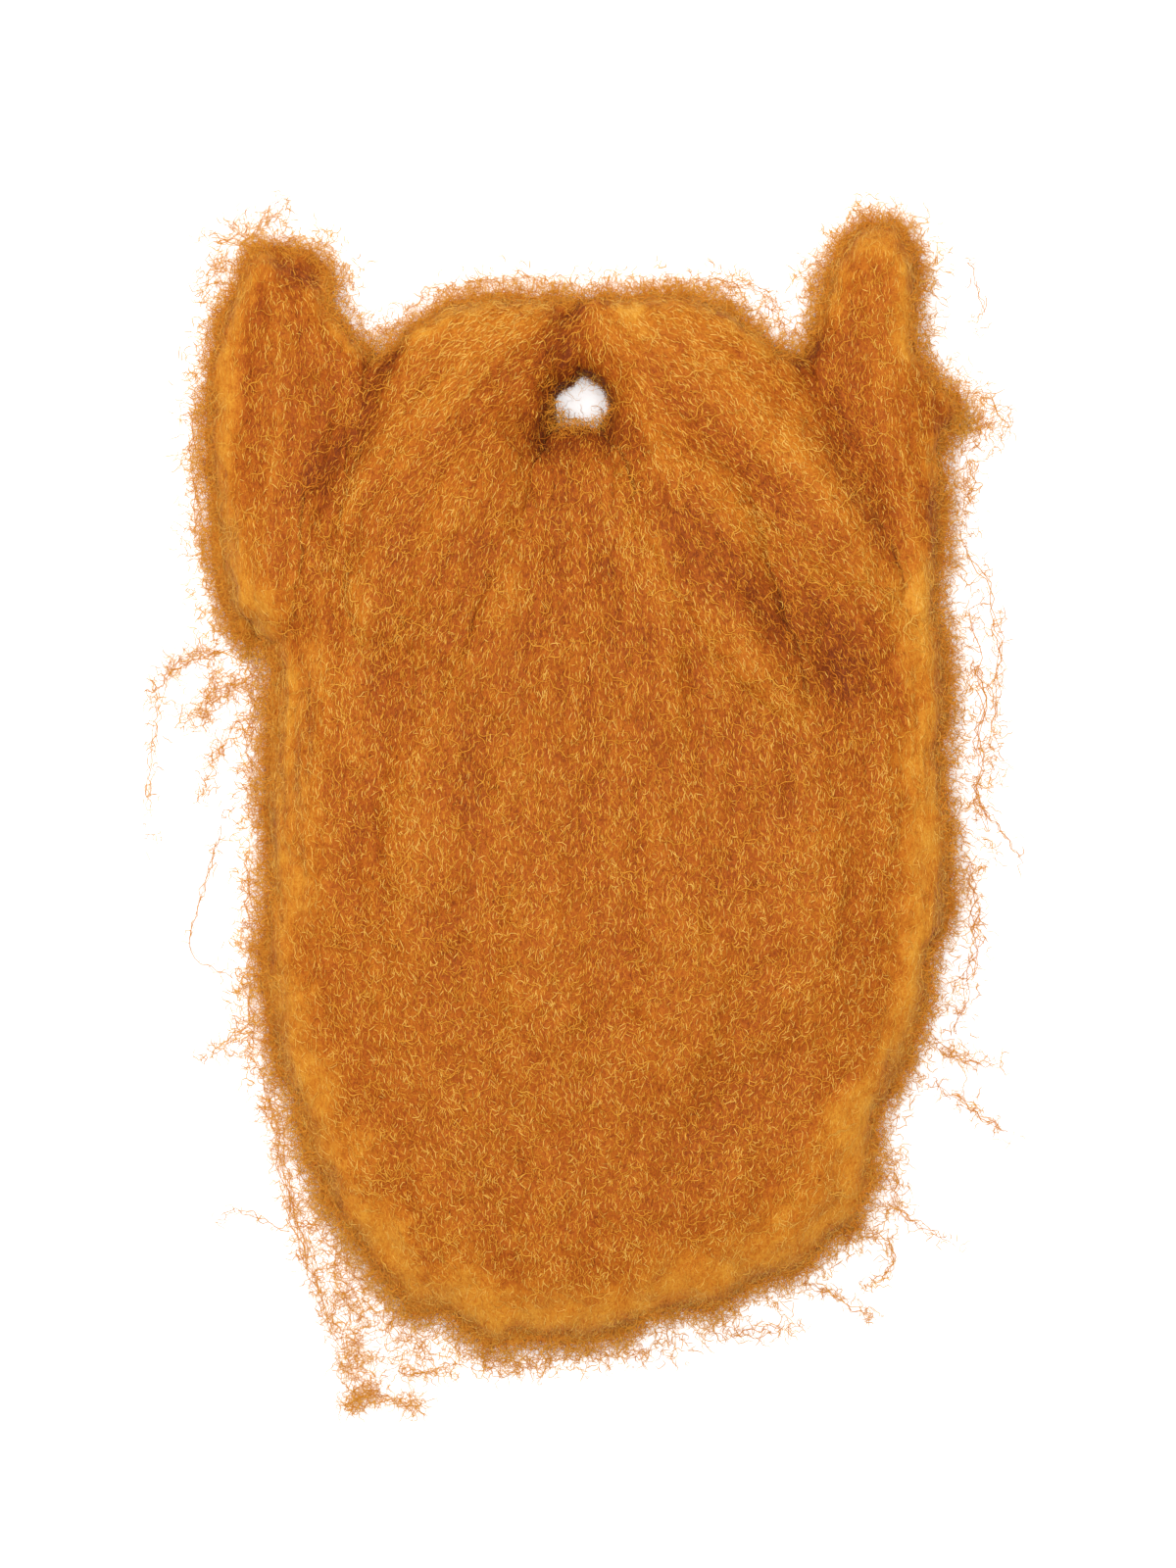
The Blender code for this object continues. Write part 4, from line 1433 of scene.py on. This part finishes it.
WISPS = (
    Wisp(((265, 668), (228, 662), (190, 670), (165, 690), (150, 720)), 6, 1.7 * MM, 170),
    Wisp(((180, 675), (160, 715), (154, 770), (148, 820), (160, 858)), 3, 1.5 * MM, 60),
    Wisp(((265, 690), (230, 702), (200, 730), (180, 735)), 5, 2.2 * MM, 150),
    Wisp(((270, 725), (240, 740), (218, 768), (206, 800), (212, 815)), 4, 2.0 * MM, 110),
    Wisp(((225, 680), (212, 715), (205, 755)), 3, 2.0 * MM, 80),
    Wisp(((250, 640), (262, 690), (262, 740), (255, 790), (262, 850)), 5, 2.6 * MM, 260),
    Wisp(
        ((262, 805), (228, 830), (216, 880), (200, 930), (192, 962), (203, 985), (240, 995)), 3, 0.7 * MM, 26
    ),
    Wisp(((250, 880), (258, 960), (250, 1040), (255, 1100)), 4, 2.2 * MM, 200),
    Wisp(((262, 1045), (232, 1062), (205, 1080)), 3, 1.6 * MM, 50),
    Wisp(((300, 1262), (262, 1240), (232, 1232), (212, 1252)), 2, 0.8 * MM, 12),
    Wisp(((985, 262), (1000, 300), (1002, 325), (990, 340)), 2, 0.8 * MM, 14),
    Wisp(((985, 395), (1010, 405), (1032, 440), (1010, 455)), 3, 1.4 * MM, 50),
    Wisp(((990, 440), (990, 500), (985, 560)), 3, 2.2 * MM, 90),
    Wisp(((985, 560), (1010, 600), (1022, 660), (1012, 740), (1018, 800)), 4, 2.0 * MM, 120),
    Wisp(((990, 620), (1005, 700), (1000, 760), (1000, 830), (1015, 880)), 4, 2.4 * MM, 150),
    Wisp(((985, 800), (1018, 845), (1048, 882)), 3, 0.8 * MM, 18),
    Wisp(((990, 880), (1000, 960), (985, 1020), (975, 1070)), 4, 2.2 * MM, 120),
    Wisp(((950, 1060), (990, 1088), (1022, 1080)), 4, 1.8 * MM, 60),
    Wisp(((945, 1105), (985, 1125), (1015, 1148), (1035, 1165)), 4, 1.4 * MM, 60),
    Wisp(((905, 1225), (940, 1252), (985, 1275)), 3, 1.0 * MM, 26),
    Wisp(((905, 1180), (920, 1220), (905, 1245)), 3, 2.0 * MM, 70),
    Wisp(((880, 1262), (905, 1262), (915, 1285), (900, 1305), (875, 1312)), 5, 1.0 * MM, 60),
    Wisp(((820, 1310), (850, 1318), (895, 1345)), 4, 1.1 * MM, 60),
    Wisp(((720, 1362), (770, 1358), (820, 1352)), 3, 1.8 * MM, 90),
    Wisp(((268, 1090), (282, 1160), (296, 1230), (318, 1300), (345, 1365), (368, 1425)), 7, 1.9 * MM, 420),
    Wisp(((300, 1120), (318, 1180), (335, 1240), (352, 1300), (364, 1360), (372, 1410)), 4, 4.2 * MM, 950),
    Wisp(((345, 1190), (372, 1240), (392, 1300), (408, 1350), (425, 1385)), 3, 4.4 * MM, 850),
    Wisp(((300, 1130), (345, 1200), (395, 1270), (440, 1330)), 2, 3.4 * MM, 420),
    Wisp(((350, 1430), (375, 1424), (395, 1424), (432, 1438)), 5, 1.8 * MM, 150),
    Wisp(((378, 1415), (372, 1428), (358, 1434)), 4, 2.0 * MM, 130),
    Wisp(((405, 1400), (440, 1402), (462, 1396)), 5, 1.2 * MM, 80),
    Wisp(((965, 436), (985, 428), (1006, 438)), 6, 2.6 * MM, 260),
    Wisp(((560, 1378), (640, 1384), (700, 1372)), 2, 2.0 * MM, 160),
    Wisp(((470, 1380), (520, 1392), (560, 1392)), 2, 2.2 * MM, 200),
    Wisp(((722, 300), (752, 318), (782, 346)), 2, 2.4 * MM, 90),
    Wisp(((215, 245), (248, 240), (268, 222), (292, 212)), 4, 2.4 * MM, 120),
    Wisp(((245, 262), (225, 268), (205, 300)), 3, 2.0 * MM, 80),
    Wisp(((196, 400), (196, 480), (205, 570), (225, 640)), 3, 1.6 * MM, 130),
    Wisp(((380, 335), (400, 340), (415, 320)), 3, 1.6 * MM, 60),
    Wisp(((430, 302), (480, 288), (540, 284), (590, 295)), 3, 1.4 * MM, 90),
    Wisp(((690, 292), (745, 286), (782, 300), (805, 340)), 4, 1.8 * MM, 120),
    Wisp(((820, 350), (830, 300), (835, 260)), 3, 1.6 * MM, 80),
    Wisp(((560, 392), (566, 425), (600, 432), (628, 424)), 2, 1.0 * MM, 40),
)


@dataclass
class StrayWisps:
    """Wisps that have come loose and lie on the floor beside the beard, netted with short curled hairs."""

    name: str = "stray_wisps"
    seed: int = 91
    rungs: int = 20
    short_rungs: int = 5
    begin: tuple[float, float] = (-0.05, 0.35)
    end: tuple[float, float] = (0.6, 1.0)
    height: float = 1.6 * MM

    def build(self) -> bpy.types.Object:
        """Lays every wisp.

        Returns:
            The piece.
        """
        dice = np.random.default_rng(self.seed)
        lines, places = [], []
        for wisp in WISPS:
            path = self.round_off(np.array([floor_point(*place) for place in wisp.path]))
            lines.append(self.drawn_out(wisp, path, dice))
            places.append(self.scattered(wisp, path, dice))
        centres = np.concatenate(lines)
        count = len(centres)
        widths = dice.uniform(0.18 * MM, 0.30 * MM, (count, 1)) * np.linspace(1, 0.7, self.rungs)[None, :]
        tones = TONES.wisp + dice.normal(0, 0.08, (count, 1)) + np.zeros((1, self.rungs))
        drawn = Strands(centres, widths, tones, upright(count), dice.normal(0, 0.4, count))
        starts = np.concatenate(places)
        count = len(starts)
        along, up = any_way(count, dice), upright(count)
        length = dice.uniform(2 * MM, 7 * MM, count)
        curled = walk(starts, along, np.cross(up, along), length, self.short_rungs, dice, 2.3, 0.6, 4 * MM)
        widths = dice.uniform(0.15 * MM, 0.26 * MM, (count, 1)) * np.array([[0.6, 1, 1, 0.9, 0.5]])
        tones = TONES.net + dice.normal(0, 0.09, (count, 1)) + np.zeros((1, self.short_rungs))
        netted = Strands(curled, widths, tones, up, dice.normal(0, 0.4, count))
        return join_strands(self.name, [drawn, netted])

    def drawn_out(self, wisp: Wisp, path: np.ndarray, dice: np.random.Generator) -> np.ndarray:
        """Draws a wisp's long hairs along its path.

        A hair follows the path from a random start to a random end, set off to the side by a random share
        of the spread that wanders along it, with crimp waves of 6.2 mm and 3.7 mm.

        Args:
            wisp: The wisp.
            path: Its rounded path.
            dice: The random source.

        Returns:
            The hairs' centre lines.
        """
        whole = spans(path)[-1]
        begin = dice.uniform(*self.begin, wisp.hairs) * whole
        end = dice.uniform(*self.end, wisp.hairs) * whole
        steps = begin[:, None] + (end - begin)[:, None] * np.linspace(0, 1, self.rungs)[None, :]
        centre = places_along(path, steps)
        ahead = unit(np.gradient(centre, axis=1) + 1e-9)
        beside = np.stack([-ahead[..., 1], ahead[..., 0]], axis=2)
        phase = dice.uniform(0, 2 * np.pi, (4, wisp.hairs, 1))
        wander = dice.normal(0, 0.6, (wisp.hairs, 1)) + 0.8 * np.sin(2 * np.pi * steps / 0.019 + phase[0])
        crimp = 0.5 * MM * np.sin(2 * np.pi * steps / 0.0062 + phase[1])
        crimp += 0.3 * MM * np.sin(2 * np.pi * steps / 0.0037 + phase[2])
        flat = centre + beside * (wander * wisp.spread * 0.7 + crimp)[:, :, None]
        height = self.height + 0.9 * MM * np.sin(2 * np.pi * steps / 0.017 + phase[3])
        return np.concatenate([flat, height[:, :, None]], axis=2)

    def scattered(self, wisp: Wisp, path: np.ndarray, dice: np.random.Generator) -> np.ndarray:
        """Scatters the starts of a wisp's short hairs round its path, on the lines of a web.

        Args:
            wisp: The wisp.
            path: Its rounded path.
            dice: The random source.

        Returns:
            The starts.
        """
        spot = places_along(path, dice.uniform(0, spans(path)[-1], wisp.netted * 8))
        spot = spot + dice.normal(0, wisp.spread, spot.shape)
        kept = spot[dice.uniform(size=len(spot)) < web_lines(spot, np.full(len(spot), 0.95))][: wisp.netted]
        return np.column_stack([kept, dice.uniform(0.6 * MM, 3.0 * MM, len(kept))])

    def round_off(self, corners: np.ndarray) -> np.ndarray:
        """Cuts a path's corners off at a quarter of each side, three times over.

        Args:
            corners: The path's corners.

        Returns:
            The rounded path, which has the same ends.
        """
        for _ in range(3):
            near = corners[:-1] * 0.75 + corners[1:] * 0.25
            far = corners[:-1] * 0.25 + corners[1:] * 0.75
            cut = np.stack([near, far], axis=1).reshape(-1, 2)
            corners = np.concatenate([corners[:1], cut, corners[-1:]])
        return corners


@dataclass
class PhotoStudio:
    """White paper, soft light from above and a camera that looks straight down."""

    distance: float = 2.5
    field_length: float = 0.5125
    sensor: float = 36
    paper: float = 6.0
    paper_cells: int = 40
    raised_from: float = 2.0
    air: float = 0.42

    def build(self) -> None:
        """Sets up the floor, the lights, the surrounding light and the camera."""
        self.lay_paper()
        self.hang_light("top_softbox", (0.0, 0.0, 3.2), 1.5, 80.0)
        self.hang_light("key_softbox", (-0.5, 1.0, 1.5), 1.1, 14.0)
        world = bpy.data.worlds.new("studio_air")
        world.use_nodes = True
        air = world.node_tree.nodes["Background"].inputs
        air["Color"].default_value = (1.0, 1.0, 1.0, 1.0)
        air["Strength"].default_value = self.air
        bpy.context.scene.world = world
        bpy.context.scene.view_settings.view_transform = "Standard"
        self.place_camera()

    def lay_paper(self) -> None:
        """Lays the paper: a sheet at the height of the floor, with gently raised far edges."""
        row = self.paper_cells + 1
        lines = np.linspace(-1, 1, row)
        x, y = np.meshgrid(lines * self.paper / 2, lines * self.paper / 2)
        away = np.maximum(np.hypot(x, y) - self.raised_from, 0)
        points = np.stack([x.ravel(), y.ravel(), (0.02 * away**2).ravel()], axis=1)
        cell = np.arange(self.paper_cells)
        first = (cell[:, None] * row + cell[None, :]).ravel()
        faces = np.stack([first, first + 1, first + row + 1, first + row], axis=1)
        paper = make_mesh("studio_paper", points, faces, np.ones(len(points)))
        paper.data.materials.append(StudioPaper().build())

    def hang_light(self, name: str, place: tuple[float, float, float], size: float, power: float) -> None:
        """Hangs a softbox that faces the beard.

        Args:
            name: The light's name.
            place: Where it hangs.
            size: Its side.
            power: Its power in watts.
        """
        lamp = bpy.data.lights.new(name, "AREA")
        lamp.shape = "SQUARE"
        lamp.size = size
        lamp.energy = power
        light = bpy.data.objects.new(name, lamp)
        bpy.context.scene.collection.objects.link(light)
        light.location = place
        x, y, z = place
        light.rotation_euler = (np.arctan2(np.hypot(x, y), z), 0, np.arctan2(y, x) + np.pi / 2)

    def place_camera(self) -> None:
        """Places the camera over the picture's centre: its lens is the sensor times distance over field."""
        lens = bpy.data.cameras.new("copy_stand")
        lens.sensor_fit = "VERTICAL"
        lens.sensor_height = self.sensor
        lens.lens = self.sensor * self.distance / self.field_length
        lens.clip_end = 100
        camera = bpy.data.objects.new("copy_stand", lens)
        bpy.context.scene.collection.objects.link(camera)
        camera.location = (*floor_point(600, 800), self.distance)
        bpy.context.scene.camera = camera


@dataclass(frozen=True)
class Dressing:
    """How one body is covered: its fibres, their pieces and seed, and its share of loose and edge hairs."""

    node: str
    slot: Slot
    fibres: int
    covers: tuple[str, ...]
    seed: int
    loose: float
    edge: float


DRESSINGS = (
    Dressing(
        "chin_beard",
        Slot.CHIN,
        64000,
        ("chin_cover_low", "chin_cover_middle", "chin_cover_high"),
        101,
        0.62,
        0.55,
    ),
    Dressing("moustache_left", Slot.MOUSTACHE, 11500, ("moustache_cover_left",), 104, 0.13, 0.06),
    Dressing("moustache_right", Slot.MOUSTACHE, 11500, ("moustache_cover_right",), 105, 0.13, 0.06),
    Dressing("sideburn_left", Slot.SIDEBURN, 6500, ("sideburn_cover_left",), 106, 0.06, 0.16),
    Dressing("sideburn_right", Slot.SIDEBURN, 6500, ("sideburn_cover_right",), 107, 0.06, 0.17),
)


@dataclass
class Beard:
    """The whole beard: five felted bodies, their covers, and what lies loose over and round them."""

    survey: Survey = field(default_factory=Survey)
    lying_seed: int = 72
    edge_roots: int = 9000
    edge_seed: int = 82
    order_seed: int = 85

    def build(self, nodes: dict[str, bpy.types.Object]) -> None:
        """Builds and dresses every piece.

        Args:
            nodes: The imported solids' objects by name.
        """
        finish = {
            Slot.CHIN: CrepeFibre("crepe_fibre_chin").build(),
            Slot.MOUSTACHE: CrepeFibre("crepe_fibre_moustache").build(),
            Slot.SIDEBURN: CrepeFibre("crepe_fibre_sideburn").build(),
        }
        bodies = [FibreBody(dressing.node, dressing.slot) for dressing in DRESSINGS]
        self.survey.streaks.draw(self.survey.combed)
        for body in bodies:
            body.felt(nodes[body.node])
        self.survey.relief.measure(np.concatenate([body.tops(5) for body in bodies]))
        for body in bodies:
            body.settle(self.survey.relief)
            body.felt_again()
            body.comb(self.survey)
        self.survey.relief.measure(np.concatenate([body.tops(6) for body in bodies]))
        for body in bodies:
            body.dress(self.survey, finish[body.slot])
            LOG.info("%s: %d triangles", body.piece.name, len(body.triangles))
        for body, dressing in zip(bodies, DRESSINGS):
            self.cover(body, dressing, finish[body.slot])
        self.loose(bodies, finish[Slot.CHIN])

    def weights(self, body: FibreBody) -> np.ndarray:
        """Gives the chance of a root on each triangle: none underneath or inside another body.

        Args:
            body: The body.

        Returns:
            The chance for each of its triangles, from 0 to 1.
        """
        relief = self.survey.relief
        middle, normal = body.middle()
        showing = smooth_step(-0.35, 0.1, normal[:, 2]) * smooth_step(0.5 * MM, 2.5 * MM, middle[:, 2])
        under = relief.grid.read(relief.height, middle) - middle[:, 2]
        steep = 1 - np.abs(normal[:, 2])
        showing = showing * (1 - smooth_step(3 * MM, 7 * MM, under - 12 * MM * steep))
        return showing * (1 - 0.3 * rim_share(middle, relief) * smooth_step(0.35, 0.85, normal[:, 2]))

    def cover(self, body: FibreBody, dressing: Dressing, finish: bpy.types.Material) -> None:
        """Covers a body with short fibres, in as many pieces as there are names, from low to high.

        Args:
            body: The body.
            dressing: The pieces' names, the fibres in all and the seed.
            finish: The fibre material.
        """
        roots, normals = body.strew(dressing.fibres, dressing.seed, self.weights(body))
        order = np.argsort(roots[:, 1], kind="stable")
        parts = np.array_split(order, len(dressing.covers))
        for number, (name, part) in enumerate(zip(dressing.covers, parts)):
            cover = FibreCover(name, dressing.seed * 10 + number)
            piece = cover.build(roots[part], normals[part], self.survey)
            hand_in(piece, finish)
            LOG.info("%s: %d fibres, %d triangles", name, len(part), 2 * len(piece.data.polygons))

    def loose(self, bodies: list[FibreBody], finish: bpy.types.Material) -> None:
        """Adds the loose hairs, the edge fuzz and the stray wisps.

        Args:
            bodies: All the bodies.
            finish: The fibre material.
        """
        hairs = LooseHairs()
        relief = self.survey.relief
        lying, near = [], []
        for body, dressing in zip(bodies, DRESSINGS):
            middle, normal = body.middle()
            face = self.weights(body) * (normal[:, 2] > 0.6)
            lying.append(body.strew(int(hairs.count * dressing.loose), self.lying_seed, face))
            depth = relief.grid.read(relief.depth, middle)
            edge = (1 - smooth_step(4 * MM, 13 * MM, depth)) * smooth_step(0.3 * MM, 1.2 * MM, middle[:, 2])
            edge = edge * smooth_step(-0.9, -0.2, normal[:, 2]) + 1e-9
            near.append(body.strew(int(self.edge_roots * dressing.edge), self.edge_seed, edge)[0])
        roots, normals = (np.concatenate(column) for column in zip(*lying))
        rim = np.concatenate(near)
        rim = rim[np.random.default_rng(self.order_seed).permutation(len(rim))]
        lying_hairs = hairs.build(roots, normals, self.survey)
        for piece in (lying_hairs, EdgeFuzz().build(rim, relief), StrayWisps().build()):
            hand_in(piece, finish)
            LOG.info("%s: %d triangles", piece.name, 2 * len(piece.data.polygons))


def corners(box: object) -> list:
    """Turns a box's corners into plain lists of numbers."""
    return [[float(value) for value in corner] for corner in box]


def main() -> None:
    """Builds the beard in order."""
    logging.basicConfig(level=logging.INFO, format="%(message)s")
    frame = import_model()
    Beard().build(frame["nodes"])
    PhotoStudio().build()
    bpy.context.view_layer.update()


if __name__ == "__main__":
    main()
